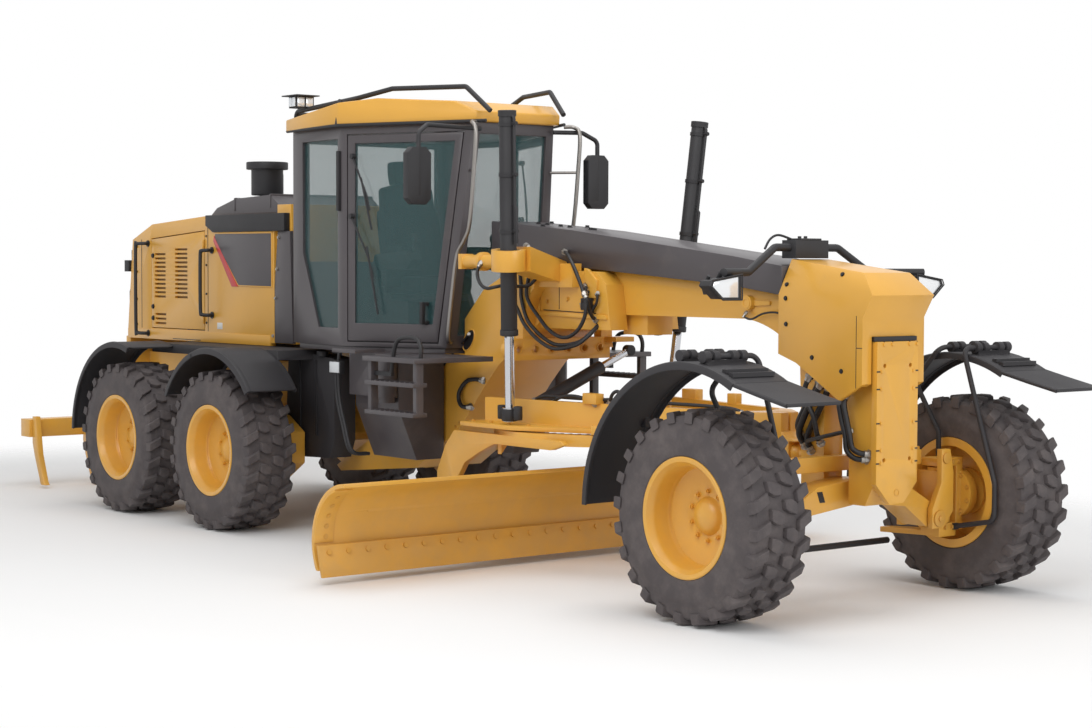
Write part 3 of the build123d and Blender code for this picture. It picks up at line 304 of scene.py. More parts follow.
# ---------------------------------------------------------------- mesh making
class Shape:
    """A mesh under construction from simple closed solids."""

    def __init__(self):
        self.mesh = bmesh.new()

    def _faces(self, rings, closed=True):
        """Skin between rings of vertices, with flat ends when not closed."""
        for low, high in zip(rings, rings[1:] + (rings[:1] if closed else [])):
            count = len(low)
            for i in range(count):
                j = (i + 1) % count
                self.mesh.faces.new((low[i], low[j], high[j], high[i]))
        if not closed:
            self.mesh.faces.new(list(reversed(rings[0])))
            self.mesh.faces.new(rings[-1])
        return self

    def prism(self, outline, travel):
        """A flat outline of 3-D points pushed along a vector."""
        travel = Vector(travel)
        low = [self.mesh.verts.new(Vector(p)) for p in outline]
        high = [self.mesh.verts.new(Vector(p) + travel) for p in outline]
        return self._faces([low, high], closed=False)

    def block(self, low, high):
        (x0, y0, z0), (x1, y1, z1) = low, high
        outline = [(x0, y0, z0), (x1, y0, z0), (x1, y1, z0), (x0, y1, z0)]
        return self.prism(outline, (0, 0, z1 - z0))

    def side_block(self, side, low, high):
        """A block on one side of the machine, from distances to the front axle and the middle."""
        (x0, y0, z0), (x1, y1, z1) = low, high
        near, far = sorted((side * y0, side * y1))
        return self.block(at(x0, near, z0), at(x1, far, z1))

    def tube(self, points, radius, sides=10, bore=None):
        """A round bar along a line of points; with a bore it is a pipe."""
        points = [Vector(p) for p in points]
        rings, inner = [], []
        side = None
        for index, point in enumerate(points):
            before = points[max(index - 1, 0)]
            after = points[min(index + 1, len(points) - 1)]
            aim = (after - before).normalized()
            if side is None:
                side = aim.orthogonal().normalized()
            side = (side - aim * side.dot(aim)).normalized()
            up = aim.cross(side)
            turns = [2 * math.pi * i / sides for i in range(sides)]
            spokes = [side * math.cos(t) + up * math.sin(t) for t in turns]
            rings.append([self.mesh.verts.new(point + spoke * radius) for spoke in spokes])
            if bore:
                inner.append([self.mesh.verts.new(point + spoke * bore) for spoke in spokes])
        return self._faces(rings + inner[::-1], closed=bool(bore))

    def lathe(self, profile, centre, axis="Y", side=1, sides=72):
        """Turn a closed profile of (radius, offset along the axis)."""
        centre = Vector(centre)
        rings = []
        for step in range(sides):
            a = 2 * math.pi * step / sides
            ring = []
            for radius, offset in profile:
                u, v = radius * math.cos(a), radius * math.sin(a)
                local = {"X": (side * offset, u, v), "Y": (u, side * offset, v), "Z": (u, v, side * offset)}
                ring.append(self.mesh.verts.new(centre + Vector(local[axis])))
            rings.append(ring)
        return self._faces(rings)

    def ball(self, centre, radius, stretch=(1, 1, 1), sides=16):
        made = bmesh.ops.create_uvsphere(self.mesh, u_segments=sides, v_segments=sides // 2, radius=radius)
        for vert in made["verts"]:
            vert.co = Vector(centre) + Vector(c * s for c, s in zip(vert.co, stretch))
        return self

    def pillow(self, centre, half, puff=0.35, lean=0.0, cuts=7):
        """A padded block with crowned faces, leaning back about Y."""
        part = bmesh.new()
        bmesh.ops.create_cube(part, size=2.0)
        bmesh.ops.subdivide_edges(part, edges=part.edges[:], cuts=cuts, use_grid_fill=True)
        turn = Matrix.Rotation(lean, 3, "Y")
        for vert in part.verts:
            full = vert.co.lerp(vert.co.normalized(), puff)
            vert.co = Vector(centre) + turn @ Vector([c * h for c, h in zip(full, half)])
        loose = bpy.data.meshes.new("pillow")
        part.to_mesh(loose)
        part.free()
        self.mesh.from_mesh(loose)
        bpy.data.meshes.remove(loose)
        return self

    def ribbon(self, line, inside, travel):
        """A sheet between two lines of points, pushed along a vector."""
        return self.prism([Vector(p) for p in line] + [Vector(p) for p in reversed(inside)], travel)

    def outboard_copy(self, mesh, centre):
        """Takes in a copy of a wheel's details, turned to face away from the machine."""
        place = Matrix.Translation(centre)
        if centre.y < 0:
            place = place @ Matrix.Rotation(math.pi, 4, "Z")
        spare = mesh.copy()
        spare.transform(place)
        self.mesh.from_mesh(spare)
        bpy.data.meshes.remove(spare)
        return self

    def mirrored(self):
        """Adds the same on the other side of the machine."""
        whole = self.mesh.verts[:] + self.mesh.edges[:] + self.mesh.faces[:]
        made = bmesh.ops.duplicate(self.mesh, geom=whole)
        faces = [g for g in made["geom"] if isinstance(g, bmesh.types.BMFace)]
        for vert in (g for g in made["geom"] if isinstance(g, bmesh.types.BMVert)):
            vert.co.y = -vert.co.y
        bmesh.ops.reverse_faces(self.mesh, faces=faces)
        return self

    def piece(self, name, finish, body, bevel=0.0, smooth=40.0, replaces=()):
        """The finished piece: normals outward, edges eased, one material, riding on its body."""
        bmesh.ops.recalc_face_normals(self.mesh, faces=self.mesh.faces)
        mesh = bpy.data.meshes.new(name)
        self.mesh.to_mesh(mesh)
        self.mesh.free()
        return finished(mesh, name, finish, body, bevel, smooth, replaces)


EDGE_STEPS = 2


def linked(name, data):
    """A new object in the scene."""
    made = bpy.data.objects.new(name, data)
    bpy.context.scene.collection.objects.link(made)
    return made


def finished(mesh, name, finish, body, bevel=0.0, smooth=40.0, replaces=()):
    """An object from a mesh, with eased edges applied to it."""
    piece = linked(name, mesh)
    mesh.materials.clear()
    mesh.materials.append(finishes[finish])
    if bevel:
        ease = piece.modifiers.new("ease", "BEVEL")
        ease.width = bevel
        ease.segments = EDGE_STEPS
        ease.limit_method = "ANGLE"
        ease.angle_limit = math.radians(35)
        apply_modifiers(piece)
    piece.data.shade_smooth()
    piece.data.set_sharp_from_angle(angle=math.radians(smooth))
    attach(piece, body)
    if replaces:
        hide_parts(*replaces)
    return piece


def apply_modifiers(piece):
    """Bakes an object's modifiers into its mesh."""
    depsgraph = bpy.context.evaluated_depsgraph_get()
    result = bpy.data.meshes.new_from_object(piece.evaluated_get(depsgraph))
    piece.modifiers.clear()
    old = piece.data
    piece.data = result
    if old.users == 0:
        bpy.data.meshes.remove(old)
    result.name = piece.name


def dressed(node, finish, bevel=0.004, smooth=32.0):
    """A CAD piece's own shape, merged and with eased edges, in its final finish."""
    source = frame["nodes"][node].data
    shape = bmesh.new()
    shape.from_mesh(source)
    bmesh.ops.remove_doubles(shape, verts=shape.verts, dist=0.00002)
    bmesh.ops.dissolve_limit(shape, angle_limit=math.radians(0.6), verts=shape.verts, edges=shape.edges)
    mesh = bpy.data.meshes.new(node + "_skin")
    shape.to_mesh(mesh)
    shape.free()
    body = next(b for b, nodes in frame["record"]["behaviour"]["bodies"].items() if node in nodes)
    return finished(mesh, node + "_skin", finish, body, bevel, smooth, (node,))


def eased_path(points, steps=6):
    """A smooth line through points."""
    points = [Vector(p) for p in points]
    path = []
    for index in range(len(points) - 1):
        before = points[max(index - 1, 0)]
        start, end = points[index], points[index + 1]
        after = points[min(index + 2, len(points) - 1)]
        for step in range(steps):
            t = step / steps
            path.append(0.5 * (2 * start + (end - before) * t
                               + (2 * before - 5 * start + 4 * end - after) * t ** 2
                               + (3 * start - before - 3 * end + after) * t ** 3))
    path.append(points[-1])
    return path


def side_points(outline, y):
    """A side outline of (x, z) pairs from the front axle, at a distance from the middle."""
    return [at(x, y, z) for x, z in outline]


def side_panel(shape, outline, y0, y1):
    """A flat plate on the machine's right, between two distances from the middle."""
    return shape.prism(side_points(outline, -y0), (0, y0 - y1, 0))


def both_panels(name, finish, body, outline, y0, y1, bevel=0.0):
    """The same flat plate on both sides of the machine, as one piece."""
    return side_panel(Shape(), outline, y0, y1).mirrored().piece(name, finish, body, bevel)


def side_heads(places, y):
    """Bolt places from (x, z) pairs on both sides of the machine, facing outward."""
    return [(at(x, s * y, z), (0, s, 0)) for s in (-1, 1) for x, z in places]


def bolt_circle(count, radius):
    """Pairs round a circle, the first half a step on."""
    turns = [math.radians(360 / count * (step + 0.5)) for step in range(count)]
    return [(radius * math.cos(turn), radius * math.sin(turn)) for turn in turns]


def oval(centre, long_half, short_half, turn, y, sides=20):
    """Points of a slanting oval seen from the side."""
    x, z = centre
    a = math.radians(turn)
    points = []
    for step in range(sides):
        t = 2 * math.pi * step / sides
        u, v = long_half * math.cos(t), short_half * math.sin(t)
        points.append(at(x + u * math.cos(a) - v * math.sin(a), y, z + u * math.sin(a) + v * math.cos(a)))
    return points


# ---------------------------------------------------------------- repeats by Geometry Nodes
def repeat_tree(name, finish, build):
    """A node tree that copies the piece it is put on; build adds the points and the turn of each copy."""
    tree = bpy.data.node_groups.new(name, "GeometryNodeTree")
    tree.interface.new_socket("Geometry", in_out="INPUT", socket_type="NodeSocketGeometry")
    tree.interface.new_socket("Geometry", in_out="OUTPUT", socket_type="NodeSocketGeometry")
    given = tree.nodes.new("NodeGroupInput")
    copies = tree.nodes.new("GeometryNodeInstanceOnPoints")
    real = tree.nodes.new("GeometryNodeRealizeInstances")
    paint = tree.nodes.new("GeometryNodeSetMaterial")
    result = tree.nodes.new("NodeGroupOutput")
    paint.inputs["Material"].default_value = finishes[finish]
    build(tree, given, copies)
    tree.links.new(given.outputs["Geometry"], copies.inputs["Instance"])
    tree.links.new(copies.outputs["Instances"], real.inputs["Geometry"])
    tree.links.new(real.outputs["Geometry"], paint.inputs["Geometry"])
    tree.links.new(paint.outputs["Geometry"], result.inputs["Geometry"])
    return tree


def round_repeat(tree, given, copies):
    """Copies turned about the wheel's own Y axis."""
    tree.interface.new_socket("Count", in_out="INPUT", socket_type="NodeSocketInt")
    line = tree.nodes.new("GeometryNodeMeshLine")
    line.inputs["Offset"].default_value = (0, 0, 0)
    index = tree.nodes.new("GeometryNodeInputIndex")
    share = tree.nodes.new("ShaderNodeMath")
    share.operation = "DIVIDE"
    turn = tree.nodes.new("ShaderNodeMath")
    turn.operation = "MULTIPLY"
    turn.inputs[1].default_value = 2 * math.pi
    spin = tree.nodes.new("ShaderNodeCombineXYZ")
    tree.links.new(given.outputs["Count"], line.inputs["Count"])
    tree.links.new(index.outputs[0], share.inputs[0])
    tree.links.new(given.outputs["Count"], share.inputs[1])
    tree.links.new(share.outputs[0], turn.inputs[0])
    tree.links.new(turn.outputs[0], spin.inputs["Y"])
    tree.links.new(line.outputs["Mesh"], copies.inputs["Points"])
    tree.links.new(spin.outputs[0], copies.inputs["Rotation"])


def row_repeat(tree, given, copies):
    """Copies in a straight row."""
    tree.interface.new_socket("Count", in_out="INPUT", socket_type="NodeSocketInt")
    tree.interface.new_socket("Step", in_out="INPUT", socket_type="NodeSocketVector")
    line = tree.nodes.new("GeometryNodeMeshLine")
    tree.links.new(given.outputs["Count"], line.inputs["Count"])
    tree.links.new(given.outputs["Step"], line.inputs["Offset"])
    tree.links.new(line.outputs["Mesh"], copies.inputs["Points"])


def repeated(shape, name, finish, build, **inputs):
    """A shape copied by its node tree and turned into a plain mesh."""
    bmesh.ops.recalc_face_normals(shape.mesh, faces=shape.mesh.faces)
    mesh = bpy.data.meshes.new(name)
    shape.mesh.to_mesh(mesh)
    shape.mesh.free()
    piece = linked(name, mesh)
    tree = repeat_tree(name + "_repeat", finish, build)
    modifier = piece.modifiers.new("repeat", "NODES")
    modifier.node_group = tree
    names = {item.name: item.identifier for item in tree.interface.items_tree if item.in_out == "INPUT"}
    for key, value in inputs.items():
        modifier[names[key.title()]] = value
    apply_modifiers(piece)
    result = piece.data
    bpy.data.objects.remove(piece)
    return result


def bolts(name, places, body, finish="zinc", radius=0.014, height=0.012, sides=6):
    """Hexagon heads standing on their seats: each place is (point, outward direction)."""
    shape = Shape()
    for point, aim in places:
        point, aim = Vector(point), Vector(aim).normalized()
        shape.tube([point - aim * 0.004, point + aim * height * 0.25], radius * 1.35, 12)
        shape.tube([point + aim * height * 0.2, point + aim * height], radius, sides)
    return shape.piece(name, finish, body, smooth=30)


# ---------------------------------------------------------------- sizes and colours
class GraderColours(bpy.types.PropertyGroup):
    """Finishes a user would change."""
    yellow: bpy.props.FloatVectorProperty(
        name="Enamel", description="Machine yellow", subtype="COLOR", default=linear(226, 168, 62))
    grey: bpy.props.FloatVectorProperty(
        name="Dark grey", description="Cab and beam cover enamel", subtype="COLOR",
        default=linear(72, 67, 70))
    black: bpy.props.FloatVectorProperty(
        name="Black", description="Rails, mirrors and lamp housings", subtype="COLOR",
        default=linear(34, 33, 36))
    fender: bpy.props.FloatVectorProperty(
        name="Fenders", description="Moulded fenders", subtype="COLOR", default=linear(44, 42, 45))
    tyre: bpy.props.FloatVectorProperty(
        name="Tyres", description="Rubber", subtype="COLOR", default=linear(72, 66, 67))
    glass: bpy.props.FloatVectorProperty(
        name="Glass", description="Cab glass tint", subtype="COLOR", default=linear(66, 104, 106))


class GraderSizes(bpy.types.PropertyGroup):
    """Sizes of what the scene adds."""
    tread_count: bpy.props.IntProperty(
        name="Tread pitches", description="Lugs of one row round a tyre", default=24, min=12, max=60)
    tread_depth: bpy.props.FloatProperty(
        name="Tread depth", description="Height of a lug", default=0.03, unit="LENGTH")
    stud_count: bpy.props.IntProperty(
        name="Wheel studs", description="Studs round a hub", default=10, min=4, max=24)
    stud_circle: bpy.props.FloatProperty(
        name="Stud circle radius", description="Radius of the ring of studs", default=0.14, unit="LENGTH")
    hose: bpy.props.FloatProperty(
        name="Hose radius", description="Radius of a hydraulic hose", default=0.013, unit="LENGTH")


def sizes():
    return bpy.context.scene.grader_sizes


def colours():
    return bpy.context.scene.grader_colours


class GraderOperator:
    """What the piece operators share: build, then report that they have finished."""
    bl_options = {"REGISTER", "UNDO"}

    def execute(self, context):
        self.build()
        return {"FINISHED"}


# ---------------------------------------------------------------- wheels
def tread_unit(radius, half_width, depth, pitch):
    """The lugs of one pitch, at the top of the tyre: two shoulder lugs and two centre lugs."""
    # along the tyre's width, round the tyre (shares of a pitch); the outline of one lug
    shoulder = [(0.50, -0.18), (1.00, -0.52), (1.00, -0.08), (0.50, 0.26)]
    centre = [(0.03, 0.10), (0.03, 0.44), (0.20, 0.58), (0.27, 0.52), (0.46, 0.66),
              (0.46, 0.22), (0.26, 0.06)]
    shape = Shape()
    base = radius - depth

    def crown(share):
        return 1.0 - 0.018 * abs(share) ** 2.5

    def lug(outline, flip, shift, drop):
        mid_w = sum(w for w, _ in outline) / len(outline)
        mid_t = sum(t for _, t in outline) / len(outline)
        points = []
        for w, t in outline:
            for top in (True, False):
                taper = 0.92 if top else 1.06
                ww = mid_w + (w - mid_w) * taper
                tt = mid_t + (t - mid_t) * taper
                ww = min(ww, 1.0)
                r = (radius if top else base - 0.006) * crown(ww)
                if not top and ww > 0.9:
                    r -= drop
                turn = flip * (tt + shift) * pitch
                across = flip * ww * half_width
                points.append((r * math.sin(turn), across, r * math.cos(turn)))
        made = [shape.mesh.verts.new(p) for p in points]
        hull = bmesh.ops.convex_hull(shape.mesh, input=made)
        loose = [v for v in hull["geom_interior"] if isinstance(v, bmesh.types.BMVert)]
        bmesh.ops.delete(shape.mesh, geom=loose, context="VERTS")

    for flip in (1, -1):
        lug(shoulder, flip, 0.0, 0.03)
        lug(centre, flip, -0.02, 0.0)
    return shape


def tyre_carcass(rim_radius, radius, half_width, depth):
    """Closed section of the tyre without its lugs."""
    base = radius - depth
    rise = base - rim_radius
    # share of the sidewall's height, share of the half width
    wall = [(0.0, 0.88), (0.12, 0.91), (0.16, 0.955), (0.22, 0.965), (0.30, 0.975), (0.45, 1.0),
            (0.62, 0.99), (0.66, 0.965), (0.80, 0.95), (0.92, 0.92), (0.97, 0.86)]
    outer = [(rim_radius + rise * h, half_width * w) for h, w in wall]
    crown = [(base * 0.994, half_width * 0.7), (base, half_width * 0.3)]
    profile = outer + crown
    return profile + [(r, -y) for r, y in reversed(profile)]


class GRADER_OT_tyres(GraderOperator, bpy.types.Operator):
    """Six tyres with four staggered rows of lugs"""
    bl_idname = "grader.tyres"
    bl_label = "Tyres"

    def build(self):
        s = sizes()
        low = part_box("rim_front_left")[0]
        rim_radius = AXLE_Z - low[2]
        bead_depth, ease = 0.035, 0.004
        half = TYRE_WIDTH / 2
        pitch = 2 * math.pi / s.tread_count
        unit = tread_unit(TYRE_RADIUS, half, s.tread_depth, pitch)
        bmesh.ops.bevel(unit.mesh, geom=unit.mesh.edges[:], offset=ease, segments=1, affect="EDGES")
        lugs = repeated(unit, "lugs", "rubber", round_repeat, count=s.tread_count)
        profile = tyre_carcass(rim_radius - bead_depth, TYRE_RADIUS, half, s.tread_depth)
        for name in WHEELS:
            centre = wheel_centre(name)
            shape = Shape().lathe(profile, centre, sides=128).outboard_copy(lugs, centre)
            shape.piece("tyre_tread_" + name, "rubber", "wheel_" + name, smooth=28,
                        replaces=("tyre_" + name,))


def rim_section(flange, bead, half, disc, hub):
    """Closed section of a deep-dish rim: radius, offset outboard."""
    return [
        (bead, -half + 0.05), (bead + 0.004, -half + 0.018), (flange - 0.006, -half + 0.014),
        (flange, -half + 0.007), (flange - 0.004, -half), (bead - 0.01, -half),
        (bead - 0.014, -half + 0.03),
        (bead - 0.016, disc - 0.03), (0.17, disc - 0.062), (0.15, disc - 0.06), (0.148, -0.05),
        (0.07, -0.05), (0.07, disc - 0.05), (0.0, disc - 0.05), (0.0, hub), (0.03, hub - 0.003),
        (0.075, hub - 0.016), (0.1, hub - 0.038), (0.106, disc - 0.02), (0.112, disc - 0.026),
        (0.17, disc - 0.028), (0.20, disc - 0.021), (bead - 0.05, disc - 0.004),
        (bead - 0.026, disc + 0.004),
        (bead - 0.02, disc + 0.016), (bead - 0.024, disc + 0.02), (bead - 0.016, disc + 0.034),
        (bead - 0.016, half - 0.05), (bead - 0.006, half - 0.03), (flange - 0.03, half - 0.0036),
        (flange - 0.008, half), (flange - 0.001, half - 0.004), (flange, half - 0.012),
        (flange - 0.006, half - 0.018), (bead + 0.006, half - 0.022), (bead, half - 0.05),
    ]


class GRADER_OT_rims(GraderOperator, bpy.types.Operator):
    """Deep-dish rims with hub caps and rings of studs"""
    bl_idname = "grader.rims"
    bl_label = "Rims"

    def build(self):
        s = sizes()
        low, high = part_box("rim_front_left")
        flange = AXLE_Z - low[2]
        half = (high[1] - low[1]) / 2
        disc, hub, flange_rise = 0.036, 0.07, 0.043
        section = rim_section(flange, flange - flange_rise, half, disc, hub)
        stud = Shape()
        seat = disc - 0.03
        circle = s.stud_circle
        stud.tube([(0, seat - 0.01, circle), (0, seat + 0.004, circle)], 0.019, 16)
        stud.tube([(0, seat, circle), (0, seat + 0.022, circle)], 0.0145, 6)
        stud.tube([(0, seat + 0.02, circle), (0, seat + 0.03, circle)], 0.008, 8)
        ring = repeated(stud, "studs", "yellow", round_repeat, count=s.stud_count)
        for name in WHEELS:
            centre = wheel_centre(name)
            side = 1 if centre.y > 0 else -1
            shape = Shape().lathe(section, centre, side=side, sides=96).outboard_copy(ring, centre)
            valve = centre + Vector((0.16, side * 0.05, 0.225))
            shape.tube([valve, valve + Vector((-0.004, side * 0.05, -0.006))], 0.006, 8)
            shape.piece("rim_dish_" + name, "yellow", "wheel_" + name, smooth=35,
                        replaces=("rim_" + name,))


# ---------------------------------------------------------------- frame pieces in their finishes
# node, finish, width of the eased edges
DRESSED = [
    ("front_frame", "yellow", 0.007), ("nose_cover", "yellow", 0.006), ("beam_cover", "grey", 0.006),
    ("axle_beam", "yellow", 0.006), ("lift_saddle", "yellow", 0.005), ("cab_frame", "grey", 0.004),
    ("cab_roof", "yellow", 0.012), ("mirrors", "black", 0.004), ("cab_rails", "black", 0.0),
    ("access_steps", "grey", 0.002), ("under_cab_tanks", "grey", 0.008), ("lamp_bar", "black", 0.003),
    ("rear_frame", "yellow", 0.005), ("engine_block", "iron", 0.01), ("engine_hood", "yellow", 0.006),
    ("rear_guard", "black", 0.005), ("air_cleaner", "black", 0.006), ("tandem_cases", "yellow", 0.01),
    ("rear_fenders", "fender", 0.004), ("lean_yoke_left", "yellow", 0.004),
    ("lean_yoke_right", "yellow", 0.004), ("lean_bar", "yellow", 0.003), ("tie_rod", "black", 0.003),
    ("knuckle_left", "yellow", 0.005), ("knuckle_right", "yellow", 0.005),
    ("front_fender_left", "fender", 0.003), ("front_fender_right", "fender", 0.003),
    ("drawbar", "yellow", 0.005), ("lift_cylinders", "black", 0.003), ("lift_rod_left", "chrome", 0.0),
    ("lift_rod_right", "chrome", 0.0), ("shift_cylinder", "black", 0.003), ("shift_rod", "chrome", 0.0),
    ("circle", "yellow", 0.004), ("blade_bracket", "yellow", 0.005), ("moldboard", "yellow", 0.004),
    ("cutting_edge", "edge", 0.003), ("door_left", "grey", 0.004), ("door_right", "grey", 0.004),
    ("engine_door_left", "yellow", 0.005), ("engine_door_right", "yellow", 0.005),
    ("ripper", "yellow", 0.005), ("ripper_cylinder", "black", 0.003), ("ripper_rod", "chrome", 0.0),
]


class GRADER_OT_frames(GraderOperator, bpy.types.Operator):
    """Main frames, covers and working gear in their finishes, with eased edges"""
    bl_idname = "grader.frames"
    bl_label = "Frames and covers"

    def build(self):
        for node, finish, bevel in DRESSED:
            dressed(node, finish, bevel)


class GRADER_OT_glass(GraderOperator, bpy.types.Operator):
    """Cab and door glass"""
    bl_idname = "grader.glass"
    bl_label = "Glass"

    def build(self):
        for node in ("cab_glass", "door_glass_left", "door_glass_right"):
            pane = frame["nodes"][node]
            pane.data.materials.clear()
            pane.data.materials.append(finishes["glass"])


# ---------------------------------------------------------------- bonnet and rear
class GRADER_OT_bonnet(GraderOperator, bpy.types.Operator):
    """Bonnet panels, stripe, louvre mesh, handrails and rear lamps"""
    bl_idname = "grader.bonnet"
    bl_label = "Bonnet trim"

    def build(self):
        side = BONNET_SIDE
        both_panels("bonnet_side_panel", "grey", "rear_frame",
                    [(-6.606, 2.276), (-5.716, 2.274), (-5.716, 1.853), (-6.226, 1.859),
                     (-6.606, 2.232)], side - 0.01, side + 0.0105, 0.002)
        both_panels("bonnet_stripe", "stripe", "rear_frame",
                    [(-6.629, 2.214), (-6.620, 2.262), (-6.236, 1.846), (-6.332, 1.845)],
                    side - 0.01, side + 0.0115, 0.001)
        both_panels("bonnet_band", "black", "rear_frame",
                    [(-6.742, 2.432), (-6.742, 2.346), (-6.625, 2.291), (-5.495, 2.291),
                     (-5.495, 2.432)], side - 0.05, side + 0.024, 0.006)
        top = Shape().prism(side_points([(-6.808, 2.4305), (-6.704, 2.495), (-6.402, 2.565),
                                         (-5.847, 2.585), (-5.643, 2.453), (-5.643, 2.4305)], -0.485),
                            (0, 0.97, 0))
        for x, z in ((-6.405, 2.56), (-5.845, 2.58)):
            top.block(at(x - 0.012, -0.492, z - 0.10), at(x + 0.012, 0.492, z + 0.012))
        top.piece("bonnet_top", "grey", "rear_frame", 0.01)
        both_panels("bonnet_pillar", "grey", "rear_frame",
                    [(-5.735, 1.405), (-5.632, 2.29), (-5.45, 2.29), (-5.405, 1.405)],
                    0.515, 0.548, 0.004)
        bolts("bonnet_pillar_bolts",
              side_heads([(-5.615, 2.24), (-5.64, 1.99), (-5.665, 1.76), (-5.70, 1.46)], 0.548),
              "rear_frame", radius=0.011)
        both_panels("bonnet_skirt", "yellow", "rear_frame",
                    [(-8.165, 1.378), (-8.165, 1.462), (-5.74, 1.462), (-5.74, 1.378)],
                    0.50, 0.5535, 0.003)
        seam = Shape()
        for x, z0, z1 in ((-6.738, 1.47, 2.34), (-7.905, 1.47, 2.24)):
            side_panel(seam, [(x - 0.004, z0), (x + 0.004, z0), (x + 0.004, z1), (x - 0.004, z1)],
                       side - 0.004, side + 0.0012)
        side_panel(seam, [(-7.34, 1.388), (-7.34, 1.394), (-6.86, 1.394), (-6.86, 1.388)], 0.54, 0.5548)
        seam.mirrored().piece("bonnet_seams", "hose", "rear_frame")
        places = [(-6.765, z) for z in (2.26, 2.02, 1.78, 1.54)]
        places += [(-7.99, z) for z in (2.18, 1.96, 1.72, 1.50)]
        bolts("bonnet_bolts", side_heads(places, side), "rear_frame", "hose", radius=0.008, height=0.006)
        rail = Shape()
        for x, run, low, high in ((-7.78, -7.865, 1.426, 2.205), (-6.665, -6.725, 1.605, 2.142)):
            line = [(x, 0.548, high), (x, 0.60, high), (run + 0.02, 0.625, high - 0.006),
                    (run, 0.63, high - 0.05), (run, 0.63, low + 0.05),
                    (run + 0.02, 0.625, low + 0.006), (x, 0.60, low), (x, 0.548, low)]
            rail.tube(eased_path([at(a, -b, c) for a, b, c in line], 5), 0.015, 12)
            for z in (low, high):
                rail.tube([at(x, -0.548, z), at(x, -0.560, z)], 0.028, 14)
        rail.mirrored().piece("bonnet_handrails", "black", "rear_frame")
        for name, s in (("left", 1), ("right", -1)):
            mesh = Shape()
            for x0, x1, z0, z1 in ((-7.675, -7.465, 1.722, 2.142), (-7.313, -7.081, 1.721, 2.182),
                                   (-7.666, -7.457, 1.492, 1.622)):
                mesh.side_block(s, (x0, 0.508, z0), (x1, 0.5195, z1))
            mesh.piece("louvre_mesh_" + name, "mesh", "engine_door_" + name)
            latches = [(at(-7.695, s * side, z), (0, s, 0)) for z in (1.56, 1.66, 2.10)]
            bolts("door_latches_" + name, latches, "engine_door_" + name, "black",
                  radius=0.016, height=0.012, sides=12)
        tag = Shape().block(at(-6.585, -0.5525, 1.492), at(-6.50, -0.549, 1.545))
        tag.piece("blank_plate", "plate", "rear_frame", 0.001)
        lamps, lenses = Shape(), Shape()
        for y in (-0.50, 0.50):
            lamps.block(at(-8.21, y - 0.06, 1.96), at(-8.13, y + 0.06, 2.06))
            lamps.tube([at(-8.17, y, 2.0), at(-8.17, y * 0.9, 2.10)], 0.014, 10)
            lenses.block(at(-8.2175, y - 0.05, 1.97), at(-8.209, y + 0.05, 2.05))
            line = [(-8.245, y * 0.88, 1.80), (-8.32, y * 0.88, 1.80), (-8.33, y * 0.88, 1.78),
                    (-8.33, y * 0.88, 1.62), (-8.32, y * 0.88, 1.60), (-8.245, y * 0.88, 1.60)]
            lamps.tube([at(*p) for p in line], 0.009, 10)
        lamps.piece("rear_lamps_and_handles", "black", "rear_frame", 0.004)
        lenses.piece("rear_lamp_lenses", "lens", "rear_frame")
        core = Shape().block(at(-8.202, -0.41, 1.56), at(-8.172, 0.41, 2.09))
        core.piece("radiator_mesh", "hose", "rear_frame")
        both_panels("ripper_eye_lugs", "yellow", "ripper",
                    [(-9.15, 0.60), (-9.15, 0.50), (-9.06, 0.50), (-8.965, 0.655), (-8.965, 0.715),
                     (-9.01, 0.733), (-9.12, 0.64)], 0.034, 0.052, 0.003)
        bolts("ripper_eye_bolts", side_heads([(-9.0, 0.69)], 0.052), "ripper", "edge",
              radius=0.02, height=0.012)
        tail = Shape()
        for y in (-0.41, 0.41):
            tail.block(at(-8.272, y - 0.05, 1.22), at(-8.258, y + 0.05, 1.30))
        tail.piece("tail_lamps", "stripe", "rear_frame", 0.003)


